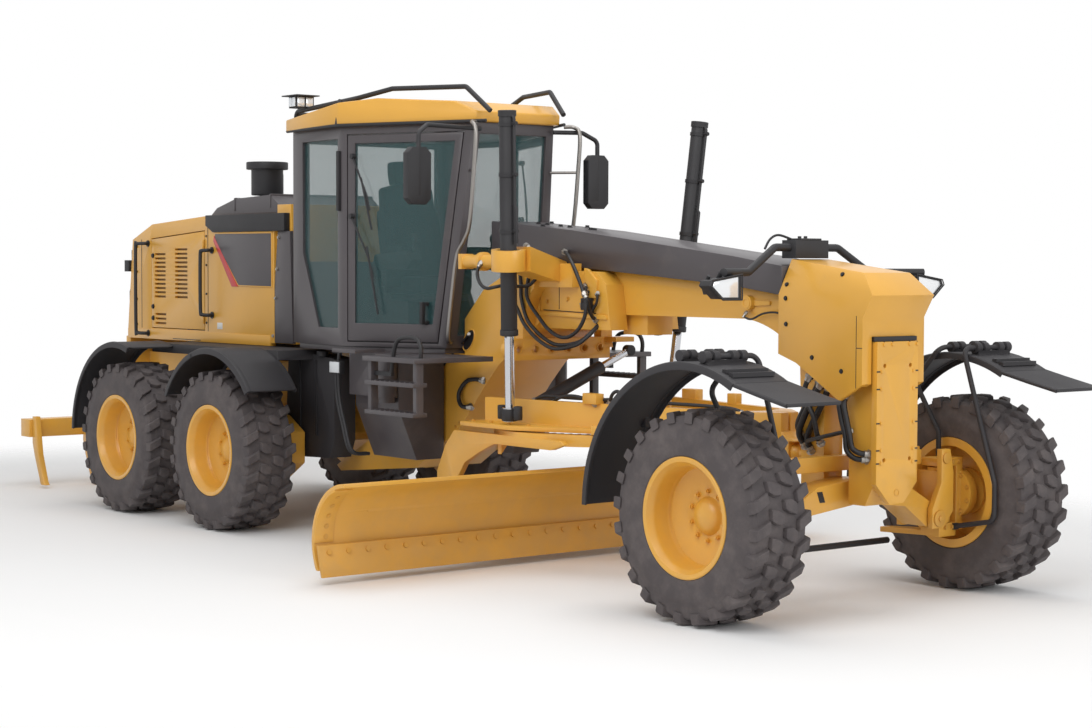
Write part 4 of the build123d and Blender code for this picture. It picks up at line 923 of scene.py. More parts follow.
# ---------------------------------------------------------------- nose
class GRADER_OT_nose(GraderOperator, bpy.types.Operator):
    """Nose bolts and seams, near-black painted shade in the bumper slots and gap, headlamps and their loops
    """
    bl_idname = "grader.nose"
    bl_label = "Nose trim"

    def build(self):
        face = NOSE_FACE
        # a near-black block set back in the gap behind the bumper face: painted shade of the gap
        slot = Shape().block(at(0.335, -0.183, 1.592), at(0.372, 0.183, 1.619))
        slot.piece("bumper_gap_shade", "hose", "front_frame")
        rows = (1.417, 1.315, 1.116, 0.958, 0.882)
        top_row = (-0.118, -0.046, 0.1, 0.165)
        # thin near-black strips on the bumper face stand for its slots: painted shade inside them
        strips = Shape()
        for z in rows:
            for s in (-1, 1):
                strips.side_block(s, (face - 0.002, 0.135, z - 0.004),
                                  (face + 0.0015, 0.177, z + 0.004))
        for y in top_row:
            strips.block(at(face - 0.002, y - 0.004, 1.575), at(face + 0.0015, y + 0.004, 1.5905))
        strips.piece("bumper_slot_shades", "hose", "front_frame")
        heads = [(at(face, s * 0.137, z), (1, 0, 0)) for z in rows for s in (-1, 1)]
        heads += [(at(face, y, 1.574), (1, 0, 0)) for y in top_row]
        bolts("bumper_bolts", heads, "front_frame", "yellow", radius=0.010, height=0.007, sides=12)
        plug = Shape().lathe([(0.016, -0.01), (0.016, 0.003), (0.022, 0.003), (0.022, -0.01)],
                             at(face, 0, 0.704), "X", sides=24)
        plug.piece("bumper_plug", "edge", "front_frame")
        up = Vector((0, -0.886, 0.463))
        heads = [(at(-0.29, -0.236, 1.917), up), (at(0.135, -0.203, 1.98), up)]
        heads += [(at(x, -0.265, z), (0, -1, 0)) for x, z in
                  ((-0.27, 1.835), (-0.265, 1.68), (-0.047, 1.487), (0.191, 1.415))]
        across = Vector((1, -1, 1))
        heads += [(point * across, Vector(aim) * across) for point, aim in heads]
        bolts("nose_bolts", heads, "front_frame", "hose", radius=0.011, height=0.008, sides=12)
        seam = Shape()
        side_panel(seam, [(0.305, 1.32), (0.309, 1.32), (0.309, 1.74), (0.305, 1.74)], 0.262, 0.2662)
        side_panel(seam, [(0.307, 1.552), (0.354, 1.552), (0.354, 1.556), (0.307, 1.556)], 0.262, 0.2662)
        seam.mirrored().piece("nose_seams", "hose", "front_frame")
        outline = [(0.760, 1.835), (0.760, 1.975), (0.985, 1.942), (1.0, 1.912), (0.905, 1.835)]
        middle = Vector((0.878, 1.902))

        def ring(share, x):
            return [at(x, -(middle.x + (y - middle.x) * share), middle.y + (z - middle.y) * share)
                    for y, z in outline]

        lens = Shape().prism(ring(0.86, -0.151), (0.008, 0, 0))
        lens.mirrored().piece("headlamp_lenses", "lens", "front_frame", 0.002)
        lip = Shape()
        inner, outer = ring(0.86, -0.152), ring(1.02, -0.152)
        for i in range(len(outline)):
            j = (i + 1) % len(outline)
            lip.prism([inner[i], inner[j], outer[j], outer[i]], (0.012, 0, 0))
        loop = ring(1.06, -0.136)
        lip.tube(loop + loop[:1], 0.0045, 8)
        for y, z in ((0.80, 1.955), (0.93, 1.94)):
            lip.tube([at(-0.26, -y, z - 0.02), at(-0.23, -y, z + 0.03)], 0.012, 10)
        lip.tube([at(-0.27, -0.86, 1.905), at(-0.20, -0.86, 1.988)], 0.016, 10)
        lip.mirrored().piece("headlamp_rims", "black", "front_frame")
        box = Shape().block(at(-0.43, -0.10, 2.18), at(-0.30, 0.07, 2.196))
        for y in (-0.135, 0.115):
            box.tube([at(-0.36, y - 0.012, 2.14), at(-0.36, y + 0.012, 2.14)], 0.034, 16)
        for x in (-0.39, -0.34):
            box.tube([at(x, -0.03, 2.185), at(x, -0.03, 2.21)], 0.012, 8)
        box.tube(eased_path([at(-0.37, -0.12, 2.19), at(-0.40, -0.20, 2.215), at(-0.40, -0.27, 2.19),
                             at(-0.385, -0.33, 2.13)], 5), 0.008, 8)
        box.piece("lamp_bar_bracket", "black", "front_frame", 0.003)
        places = [(x, 0.0) for x in (-3.0, -2.9, -2.75, -2.65, -2.42, -2.38)]
        places += [(x, s * 0.20) for x in (-3.1, -2.7) for s in (-1, 1)]
        cover_start, cover_height, slope = -3.25, 2.34, 0.0815
        tops = [(at(x, y, cover_height - (x - cover_start) * slope), (0.08, 0, 1)) for x, y in places]
        bolts("beam_cover_bolts", tops, "front_frame", "black", radius=0.014, height=0.014)


# ---------------------------------------------------------------- hoses
# name, share of the hose radius, points from the front axle
HOSES = [
    ("loop_inner", 1.0, [(-2.601, -0.40, 2.15), (-2.57, -0.42, 2.091), (-2.562, -0.42, 2.014),
                         (-2.577, -0.42, 1.938), (-2.60, -0.42, 1.84), (-2.561, -0.42, 1.766),
                         (-2.468, -0.42, 1.682), (-2.361, -0.42, 1.599), (-2.24, -0.42, 1.551),
                         (-2.136, -0.42, 1.554), (-2.047, -0.42, 1.598), (-1.982, -0.42, 1.674),
                         (-1.961, -0.42, 1.748), (-1.976, -0.42, 1.822), (-2.03, -0.41, 1.905),
                         (-2.10, -0.40, 1.997), (-2.18, -0.37, 2.057), (-2.28, -0.32, 2.10),
                         (-2.40, -0.25, 2.12)]),
    ("loop_outer", 1.0, [(-2.617, -0.40, 2.17), (-2.671, -0.42, 2.072), (-2.675, -0.42, 2.0),
                         (-2.66, -0.42, 1.90), (-2.655, -0.42, 1.80), (-2.591, -0.42, 1.661),
                         (-2.483, -0.42, 1.577), (-2.375, -0.42, 1.523), (-2.284, -0.42, 1.498),
                         (-2.195, -0.42, 1.496), (-2.091, -0.42, 1.509), (-2.02, -0.40, 1.534),
                         (-1.986, -0.35, 1.587), (-1.985, -0.28, 1.640), (-1.959, -0.23, 1.665),
                         (-1.944, -0.15, 1.68)]),
    ("loop_rear", 1.0, [(-2.749, -0.44, 1.937), (-2.74, -0.44, 1.86), (-2.715, -0.44, 1.79),
                        (-2.66, -0.44, 1.71), (-2.60, -0.44, 1.63), (-2.49, -0.445, 1.553),
                        (-2.375, -0.45, 1.50), (-2.284, -0.45, 1.474), (-2.195, -0.45, 1.472),
                        (-2.10, -0.44, 1.488), (-2.03, -0.42, 1.512), (-1.99, -0.37, 1.565),
                        (-1.985, -0.30, 1.62), (-1.95, -0.24, 1.648), (-1.92, -0.14, 1.66)]),
    ("drop", 1.0, [(-1.976, -0.425, 1.85), (-1.95, -0.42, 1.80), (-1.965, -0.39, 1.74),
                   (-1.98, -0.35, 1.69), (-2.0, -0.29, 1.658)]),
    ("lock", 0.9, [(-2.735, -0.70, 2.05), (-2.735, -0.735, 1.99), (-2.72, -0.74, 1.934),
                   (-2.68, -0.74, 1.89), (-2.62, -0.74, 1.871), (-2.56, -0.72, 1.88),
                   (-2.53, -0.64, 1.895), (-2.55, -0.54, 1.885), (-2.53, -0.46, 1.89),
                   (-2.49, -0.43, 1.93), (-2.45, -0.43, 1.98), (-2.41, -0.42, 2.02), (-2.37, -0.38, 2.03)]),
    ("valve_a", 0.8, [(-2.10, -0.315, 1.90), (-2.06, -0.34, 1.87), (-2.07, -0.345, 1.81),
                      (-2.11, -0.33, 1.77), (-2.12, -0.31, 1.74)]),
    ("valve_b", 0.7, [(-1.98, -0.31, 1.83), (-1.95, -0.33, 1.84), (-1.96, -0.33, 1.78),
                      (-2.01, -0.32, 1.73), (-2.04, -0.30, 1.68)]),
    ("curl", 1.2, [(-3.229, -0.295, 1.204), (-3.309, -0.33, 1.214), (-3.409, -0.33, 1.194),
                   (-3.49, -0.33, 1.125), (-3.501, -0.33, 1.058), (-3.452, -0.33, 1.011),
                   (-3.38, -0.295, 1.013)]),
    ("yoke_line", 0.6, [(-3.42, -0.30, 1.53), (-3.437, -0.315, 1.506), (-3.733, -0.315, 1.283),
                        (-3.76, -0.30, 1.27)]),
    ("nose_a", 1.5, [(-0.09, -0.14, 1.36), (-0.15, -0.13, 1.28), (-0.25, -0.12, 1.16),
                     (-0.31, -0.11, 1.06), (-0.30, -0.07, 0.98)]),
    ("nose_b", 1.5, [(-0.05, -0.17, 1.34), (-0.12, -0.165, 1.25), (-0.22, -0.15, 1.12),
                     (-0.28, -0.13, 1.01), (-0.27, -0.07, 0.93)]),
    ("nose_c", 1.5, [(-0.02, -0.14, 1.33), (-0.08, -0.13, 1.22), (-0.18, -0.12, 1.08),
                     (-0.23, -0.11, 0.98), (-0.22, -0.07, 0.90)]),
    ("nose_d", 1.2, [(-0.13, -0.19, 1.38), (-0.166, -0.20, 1.30), (-0.15, -0.20, 1.22),
                     (-0.095, -0.20, 1.134), (-0.08, -0.18, 1.02), (-0.08, -0.14, 0.96)]),
    ("motor_a", 1.3, [(0.13, -0.20, 1.30), (0.135, -0.22, 1.227), (0.152, -0.22, 1.138),
                      (0.185, -0.22, 1.04), (0.20, -0.22, 0.95), (0.25, -0.20, 0.905),
                      (0.30, -0.14, 0.90)]),
    ("motor_b", 1.3, [(0.17, -0.20, 1.29), (0.178, -0.225, 1.22), (0.20, -0.225, 1.13),
                      (0.225, -0.225, 1.04), (0.24, -0.22, 0.97), (0.28, -0.20, 0.94),
                      (0.32, -0.14, 0.93)]),
    ("nose_cross", 1.0, [(-0.26, -0.07, 0.95), (-0.20, -0.14, 0.975), (-0.084, -0.19, 1.0),
                         (0.05, -0.20, 1.03), (0.13, -0.19, 1.05), (0.17, -0.14, 1.06)]),
    ("boss_lead", 0.5, [(-0.70, -0.17, 1.745), (-0.70, -0.19, 1.715), (-0.64, -0.19, 1.70),
                        (-0.55, -0.18, 1.735), (-0.44, -0.18, 1.745), (-0.37, -0.16, 1.72)]),
]
DRAWBAR_HOSES = [
    ("drawbar_a", 0.9, [(-2.25, -0.47, 1.10), (-2.173, -0.49, 1.14), (-2.061, -0.48, 1.165),
                        (-1.938, -0.46, 1.155), (-1.83, -0.43, 1.11)]),
    ("drawbar_b", 0.9, [(-2.42, -0.50, 1.11), (-2.3, -0.50, 1.15), (-2.05, -0.46, 1.15),
                        (-1.7, -0.385, 1.15), (-1.2, -0.29, 1.15), (-0.8, -0.21, 1.14),
                        (-0.70, -0.17, 1.10)]),
    ("drawbar_c", 0.9, [(-1.75, -0.40, 1.11), (-1.70, -0.41, 1.19), (-1.66, -0.395, 1.21),
                        (-1.63, -0.38, 1.17), (-1.64, -0.37, 1.11)]),
]


class GRADER_OT_hoses(GraderOperator, bpy.types.Operator):
    """Hydraulic hoses with their end fittings"""
    bl_idname = "grader.hoses"
    bl_label = "Hoses"

    def build(self):
        radius = sizes().hose
        for table, body in ((HOSES, "front_frame"), (DRAWBAR_HOSES, "drawbar")):
            fittings = Shape()
            for name, share, line in table:
                path = eased_path([at(*p) for p in line], 6)
                Shape().tube(path, radius * share, 12).piece("hose_" + name, "hose", body)
                for end, nearby in ((path[0], path[2]), (path[-1], path[-3])):
                    aim = (nearby - end).normalized()
                    fittings.tube([end - aim * 0.004, end + aim * 0.045], radius * share * 1.3, 12)
                    fittings.tube([end + aim * 0.004, end + aim * 0.024], radius * share * 1.75, 6)
            fittings.piece("hose_fittings_" + body, "zinc", body, smooth=30)
        far = [(-2.601, 0.42, 2.14), (-2.57, 0.45, 2.05), (-2.6, 0.47, 1.85), (-2.5, 0.47, 1.68),
               (-2.3, 0.46, 1.56), (-2.1, 0.43, 1.58), (-2.0, 0.36, 1.65), (-1.95, 0.20, 1.67)]
        far_loop = Shape().tube(eased_path([at(*p) for p in far]), radius, 12)
        far_loop.piece("hose_far_loop", "hose", "front_frame")


# ---------------------------------------------------------------- saddle, yoke and lift cylinders
class GRADER_OT_saddle(GraderOperator, bpy.types.Operator):
    """Bolts, boss rings, valve blocks, and oval openings on the frame as near-black painted shade, and the
    cylinders' pipes and feet
    """
    bl_idname = "grader.saddle"
    bl_label = "Saddle and yoke trim"

    def build(self):
        # middle, half length, half width, slant; the last one has no rim
        ovals = [((-3.423, 1.49), 0.087, 0.045, 50.0), ((-3.842, 0.687), 0.127, 0.024, 25.5),
                 ((-4.381, 0.639), 0.082, 0.014, 29.7)]
        # the openings are thin near-black ovals on the frame's sides: painted shade inside them
        holes = Shape()
        for centre, long_half, short_half, turn in ovals:
            holes.prism(oval(centre, long_half, short_half, turn, -0.298), (0, -0.0032, 0))
        holes.mirrored().piece("yoke_opening_shades", "hose", "front_frame")
        rims = Shape()
        for centre, long_half, short_half, turn in ovals[:2]:
            edge = oval(centre, long_half + 0.004, short_half + 0.004, turn, -0.300)
            rims.tube(edge + edge[:1], 0.005, 8)
        rims.mirrored().piece("yoke_opening_rims", "yellow", "front_frame")
        heads = [(-3.783, 1.074), (-3.817, 1.043), (-3.851, 1.014), (-3.961, 0.925), (-3.534, 0.888),
                 (-3.583, 0.856), (-4.178, 0.774), (-4.169, 0.694)]
        bolts("yoke_bolts", side_heads(heads, BEAM_SIDE), "front_frame", "edge",
              radius=0.011, height=0.01)
        seams = Shape()
        side_panel(seams, [(-2.393, 1.73), (-2.387, 1.73), (-2.387, 1.97), (-2.393, 1.97)], 0.296, 0.3012)
        side_panel(seams, [(-2.56, 1.726), (-2.0, 1.712), (-2.0, 1.706), (-2.56, 1.720)], 0.296, 0.3015)
        seams.mirrored().piece("saddle_seams", "hose", "front_frame")
        both_panels("saddle_flange", "yellow", "front_frame",
                    [(-2.585, 1.716), (-1.89, 1.70), (-1.88, 1.67), (-2.585, 1.685)],
                    0.29, 0.316, 0.004)
        heads = [(-2.34, 1.93), (-2.30, 1.80), (-2.08, 1.78), (-2.02, 1.78), (-2.52, 1.78)]
        bolts("saddle_bolts", side_heads(heads, BEAM_SIDE), "front_frame", "edge",
              radius=0.013, height=0.012)
        both_panels("hose_brackets", "yellow", "front_frame",
                    [(-2.108, 2.01), (-2.07, 2.0), (-1.975, 1.93), (-1.985, 1.812), (-2.108, 1.812)],
                    0.29, 0.318, 0.003)
        valve = Shape().block(at(-2.11, -0.345, 1.73), at(-2.02, -0.305, 1.81))
        valve.tube([at(-2.075, -0.33, 1.80), at(-2.055, -0.33, 1.86)], 0.016, 12)
        valve.piece("relief_valve", "black", "front_frame", 0.004)
        boss = Shape()
        for x, y, z, radius in ((-2.51, 0.395, 2.012, 0.058), (-0.69, 0.19, 1.799, 0.036)):
            boss.lathe([(radius * 0.62, -0.012), (radius * 0.62, 0.004), (radius, 0.004), (radius, -0.012)],
                       at(x, -y, z), "Y", -1, 32)
        boss.mirrored().piece("boss_rings", "yellow", "front_frame", 0.0015)
        ends = [(at(-2.992, s * (0.66 + dy), 2.052 + dz), (-1, 0, 0)) for s in (-1, 1)
                for dy, dz in ((-0.035, -0.035), (0.035, -0.035), (-0.035, 0.035), (0.035, 0.035))]
        bolts("lock_cylinder_bolts", ends, "front_frame", "edge", radius=0.008, height=0.01)
        holes = Shape()
        for hole in range(-3, 3):
            y = hole * 0.145
            holes.lathe([(0.025, -0.006), (0.025, 0.006), (0.034, 0.006), (0.034, -0.006)],
                        at(-2.66, y, 1.45), "X", 1, 24)
        holes.piece("link_bar_bushes", "edge", "front_frame")
        lug = Shape().block(at(-2.665, 0.33, 1.49), at(-2.535, 0.50, 1.525))
        lug.piece("shift_lug", "yellow", "front_frame", 0.004)
        eye = Shape().tube([at(-2.56, 0.445, 1.43), at(-2.50, 0.445, 1.43)], 0.038, 24)
        eye.piece("shift_rod_eye", "black", "shift_rod", 0.003)
        foot, top = Vector((-2.401, 0.710, 0.990)), Vector((-2.252, 0.855, 3.040))
        up = (top - foot).normalized()
        bore = 0.052  # inside radius of the bands and the gland

        def beside(z, dx, s):
            """A point at a height on a lift cylinder's middle line, moved along the machine."""
            point = foot + up * ((z - foot.z) / up.z)
            return at(point.x + dx, s * point.y, point.z)

        for s, name in ((-1, "right"), (1, "left")):
            pipes = Shape()
            for dx, low, high in ((0.075, 2.17, 2.98), (0.092, 2.17, 2.40)):
                line = [beside(low, dx, s), beside(high, dx, s), beside(high + 0.03, dx - 0.03, s)]
                pipes.tube(line, 0.010, 10)
            for z in (2.25, 2.62, 2.95):
                pipes.tube([beside(z - 0.012, 0.0, s), beside(z + 0.012, 0.0, s)], 0.0605, 24, bore=bore)
                pipes.tube([beside(z, 0.05, s), beside(z, 0.098, s)], 0.014, 8)
            pipes.tube([beside(3.0, 0.0, s), beside(3.038, 0.0, s)], 0.061, 24, bore=bore)
            pipes.piece("lift_pipes_" + name, "black", "lift_cylinders")
            gland = Shape().tube([beside(1.562, 0, s), beside(1.60, 0, s)], 0.0615, 24, bore=bore)
            gland.piece("lift_gland_" + name, "black", "lift_cylinders", 0.003)
            lugs = Shape().tube([beside(0.992, 0, s), beside(1.075, 0, s)], 0.057, 24)
            for dx in (-0.088, 0.088):
                lugs.tube([beside(1.0, dx, s), beside(1.09, dx, s)], 0.030, 16)
            thick = Vector((0, 0.018, 0))
            lugs.block(beside(1.02, -0.088, s) - thick, beside(1.06, 0.088, s) + thick)
            lugs.piece("lift_foot_" + name, "black", "lift_rod_" + name, 0.004)


# ---------------------------------------------------------------- cab
class GRADER_OT_cab(GraderOperator, bpy.types.Operator):
    """Seat, wipers, grab tubes, mirror glass, roof lamps and what hangs below the cab"""
    bl_idname = "grader.cab"
    bl_label = "Cab trim"

    def build(self):
        self.seat()
        self.outside()
        self.below()

    def seat(self):
        base = Shape().block(at(-4.5, -0.16, 1.48), at(-4.2, 0.16, 1.56))
        base.block(at(-4.46, -0.11, 1.55), at(-4.24, 0.11, 1.76))
        base.block(at(-4.55, -0.21, 1.755), at(-4.12, 0.21, 1.805))
        base.block(at(-4.62, -0.19, 1.80), at(-4.57, 0.19, 2.05))
        for s in (-1, 1):
            base.prism([at(x, s * 0.31, z) for x, z in ((-4.5, 2.03), (-4.47, 2.105), (-4.03, 2.135),
                                                       (-3.97, 2.065), (-4.05, 1.99), (-4.4, 1.985))],
                       (0, s * 0.10, 0))
            base.side_block(s, (-4.4, 0.26, 1.86), (-4.33, 0.40, 2.02))
            base.tube([at(-4.03, s * 0.36, 2.12), at(-4.015, s * 0.36, 2.20)], 0.014, 12)
            base.ball(at(-4.012, s * 0.36, 2.225), 0.03, (0.85, 0.85, 1.3))
        base.piece("seat_base", "black", "front_frame", 0.008, replaces=("operator_seat",))
        pads = [("seat_cushion", (-4.35, 0, 1.872), (0.262, 0.262, 0.072), 0.0),
                ("seat_back", (-4.60, 0, 2.27), (0.068, 0.245, 0.385), SEAT_LEAN),
                ("seat_headrest", (-4.665, 0, 2.725), (0.05, 0.14, 0.095), SEAT_LEAN)]
        for name, centre, half, lean in pads:
            pad = Shape().pillow(at(*centre), half, 0.34, lean)
            pad = pad.piece(name, "cloth", "front_frame", smooth=60)
        for s, name in ((-1, "right"), (1, "left")):
            wing = Shape().pillow(at(-4.585, s * 0.215, 2.2), (0.06, 0.045, 0.28), 0.4, SEAT_LEAN)
            wing = wing.piece("seat_wing_" + name, "cloth", "front_frame", smooth=60)
            rest = Shape().pillow(at(-4.25, s * 0.36, 2.135), (0.17, 0.05, 0.03), 0.3)
            rest = rest.piece("arm_rest_" + name, "cloth", "front_frame", smooth=60)

    def outside(self):
        grab = Shape()
        line = [(-3.21, -0.40, 3.03), (-3.171, -0.46, 3.027), (-3.115, -0.47, 2.97),
                (-3.131, -0.47, 2.732), (-3.184, -0.47, 2.324), (-3.25, -0.47, 2.20),
                (-3.336, -0.47, 2.09), (-3.397, -0.47, 1.803), (-3.44, -0.47, 1.52),
                (-3.47, -0.42, 1.475)]
        grab.tube(eased_path([at(*p) for p in line], 5), 0.015, 12)
        for start, end in (((-3.132, -0.47, 2.70), (-3.31, -0.355, 2.70)),
                           ((-3.336, -0.47, 2.09), (-3.40, -0.40, 2.09))):
            grab.tube([at(*start), at(*end)], 0.010, 10)
        grab.mirrored().piece("grab_tubes", "steel", "front_frame")
        for s, name in ((1, "right"), (-1, "left")):
            wiper = Shape()
            for line in ([(-4.21, -0.787, 2.38), (-4.077, -0.731, 2.092), (-4.03, -0.712, 1.93)],
                         [(-4.199, -0.783, 2.816), (-4.087, -0.735, 2.536), (-4.06, -0.725, 2.42)]):
                wiper.tube([at(x, s * y, z) for x, y, z in line], 0.007, 8)
                x, y, z = line[0]
                wiper.tube([at(x, s * (y + 0.02), z), at(x, s * (y - 0.012), z)], 0.02, 14)
            for line in ([(-4.085, -0.734, 2.16), (-3.997, -0.697, 1.666)],
                         [(-4.13, -0.754, 2.66), (-4.045, -0.718, 2.28)]):
                wiper.tube([at(x, s * y, z) for x, y, z in line], 0.0075, 6)
            wiper.piece("wipers_" + name, "black", "door_" + name)
            handle = Shape().side_block(-s, (-3.66, 0.535, 1.60), (-3.63, 0.565, 1.76))
            for low, high in ((1.60, 1.625), (1.735, 1.76)):
                handle.side_block(-s, (-3.66, 0.50, low), (-3.63, 0.54, high))
            handle.piece("door_handle_" + name, "black", "door_" + name, 0.003)
        glass = Shape()
        for s, x, y in ((-1, -3.08, 0.98), (1, -3.12, 0.64)):
            face = [(-0.085, 2.486), (-0.05, 2.45), (0.05, 2.45), (0.085, 2.486),
                    (0.085, 2.784), (0.05, 2.82), (-0.05, 2.82), (-0.085, 2.784)]
            glass.prism([at(x - 0.0455, s * y + dy, z) for dy, z in face], (-0.002, 0, 0))
        glass.piece("mirror_glass", "chrome", "front_frame")
        lens, hood = Shape(), Shape()
        for y0 in (0.612, 0.688):
            lens.block(at(-5.0105, -(y0 + 0.062), 3.226), at(-5.002, -y0, 3.296))
        for x0 in (-5.102, -5.056):
            lens.block(at(x0, -0.768, 3.226), at(x0 + 0.040, -0.7595, 3.296))
        lens.mirrored().piece("roof_lamp_lenses", "lens", "front_frame", 0.002)
        hood.block(at(-5.17, -0.79, 3.304), at(-4.95, -0.585, 3.313))
        hood.mirrored().piece("roof_lamp_hoods", "black", "front_frame", 0.002)
        eave = Shape()
        for s in (-1, 1):
            eave.tube([at(x, s * y, 3.042) for x, y in
                       ((-5.16, 0.745), (-4.31, 0.842), (-3.15, 0.352))], 0.012, 8)
        eave.piece("roof_gutters", "black", "front_frame")
        post = Shape()
        for s in (-1, 1):
            post.tube([at(-4.33, s * 0.835, 3.03), at(-4.33, s * 0.80, 3.235)], 0.016, 10)
            post.side_block(s, (-4.36, 0.80, 2.42), (-4.33, 0.822, 2.86))
        post.piece("post_strips", "black", "front_frame", 0.003)

    def below(self):
        tubes = Shape()
        line = [(-3.38, -1.0, 1.27), (-3.36, -1.0, 1.36), (-3.335, -1.0, 1.457), (-3.28, -1.0, 1.515),
                (-3.15, -1.0, 1.53), (-3.06, -1.0, 1.515), (-3.02, -1.0, 1.45), (-3.035, -1.0, 1.35)]
        tubes.tube(eased_path([at(*p) for p in line], 5), 0.015, 12)
        tubes.block(at(-3.60, -1.012, 1.255), at(-3.365, -0.988, 1.285))
        for dx in (0.0, 0.035):
            line = [(-4.374, -0.815, 1.25), (-4.36, -0.815, 1.054), (-4.29, -0.815, 0.86),
                    (-4.21, -0.80, 0.665), (-4.20, -0.66, 0.64)]
            tubes.tube(eased_path([at(x + dx, y, z) for x, y, z in line], 6), 0.013, 12)
        tubes.mirrored().piece("under_cab_tubes", "black", "front_frame")
        lamp = Shape().block(at(-4.435, -0.83, 1.225), at(-4.295, -0.785, 1.32))
        lamp.tube([at(-4.365, -0.80, 1.31), at(-4.365, -0.79, 1.40)], 0.012, 10)
        lamp.mirrored().piece("step_lamp_cases", "black", "front_frame", 0.004)
        lens = Shape().block(at(-4.427, -0.838, 1.233), at(-4.303, -0.829, 1.312))
        lens.mirrored().piece("step_lamp_lenses", "lens", "front_frame", 0.002)
        treads = Shape()
        for z in (1.016, 1.221):
            for x in (-3.55 + step * 0.06 for step in range(9)):
                treads.block(at(x, -1.066, z - 0.002), at(x + 0.015, -0.954, z + 0.005))
        treads.mirrored().piece("step_treads", "grey", "front_frame")
        ribs = Shape()
        for x in (-5.18, -4.95):
            ribs.block(at(x - 0.012, -0.632, 0.72), at(x + 0.012, -0.612, 1.30))
        ribs.tube([at(-4.86, -0.622, 1.33), at(-4.86, -0.622, 1.37)], 0.045, 20)
        ribs.mirrored().piece("fuel_tank_straps", "black", "rear_frame", 0.003)


# ---------------------------------------------------------------- axle, blade and fenders
class GRADER_OT_axle(GraderOperator, bpy.types.Operator):
    """Bolts and pins of the front axle and knuckles, and near-black plates of painted shade in the frame's
    slots
    """
    bl_idname = "grader.axle"
    bl_label = "Axle trim"

    def build(self):
        for s, name in ((1, "left"), (-1, "right")):
            heads = [(at(x, s * 0.935, AXLE_Z + z), (0, -s, 0)) for x, z in bolt_circle(10, 0.138)]
            heads += [(at(0.075, s * y, z), (1, 0, 0)) for y in (0.80, 0.86, 0.92) for z in (0.408, 0.814)]
            bolts("knuckle_bolts_" + name, heads, "knuckle_" + name, "edge", radius=0.012, height=0.012)
            cap = Shape().tube([at(0.146, s * 0.66, 0.48), at(0.158, s * 0.66, 0.48)], 0.05, 24)
            cap.tube([at(0.155, s * 0.66, 0.48), at(0.168, s * 0.66, 0.48)], 0.02, 6)
            cap.tube([at(0.146, s * 0.72, 0.85), at(0.157, s * 0.72, 0.85)], 0.034, 20)
            cap.piece("lean_pin_caps_" + name, "edge", "lean_yoke_" + name, 0.002)
        # thin near-black plates on the frame stand for its slots: painted shade inside them
        plate = Shape()
        for s in (-1, 1):
            centre = at(0.1, s * 0.33, 0.67)
            plate.prism([centre + Vector((-0.002, s * dy, dz)) for dy, dz in
                         ((-0.035, -0.03), (0.01, -0.03), (0.035, 0.035), (-0.01, 0.035))], (0.0035, 0, 0))
        plate.piece("axle_slot_shades", "hose", "front_frame")


# three points on the face's arc from low to high, as x and z
BLADE_ARC = ((-2.506, 0.05), (-2.584, 0.336), (-2.236, 0.642))


def on_blade_face(z, y=0.0):
    """A point on the blade's face at a height, and the way from there to the middle of its arc."""
    x, cx, cz = blade_face(z)
    return at(x, y, z), Vector((cx - x, 0, cz - z)).normalized()


def blade_face(z):
    """X of the blade's front face at a height, and the middle of its arc as x and z."""
    (x1, z1), (x2, z2), (x3, z3) = BLADE_ARC
    d = 2 * (x1 * (z2 - z3) + x2 * (z3 - z1) + x3 * (z1 - z2))
    s1, s2, s3 = x1 * x1 + z1 * z1, x2 * x2 + z2 * z2, x3 * x3 + z3 * z3
    cx = (s1 * (z2 - z3) + s2 * (z3 - z1) + s3 * (z1 - z2)) / d
    cz = (s1 * (x3 - x2) + s2 * (x1 - x3) + s3 * (x2 - x1)) / d
    radius = math.hypot(x1 - cx, z1 - cz)
    return cx - math.sqrt(max(radius ** 2 - (z - cz) ** 2, 0.0)), cx, cz


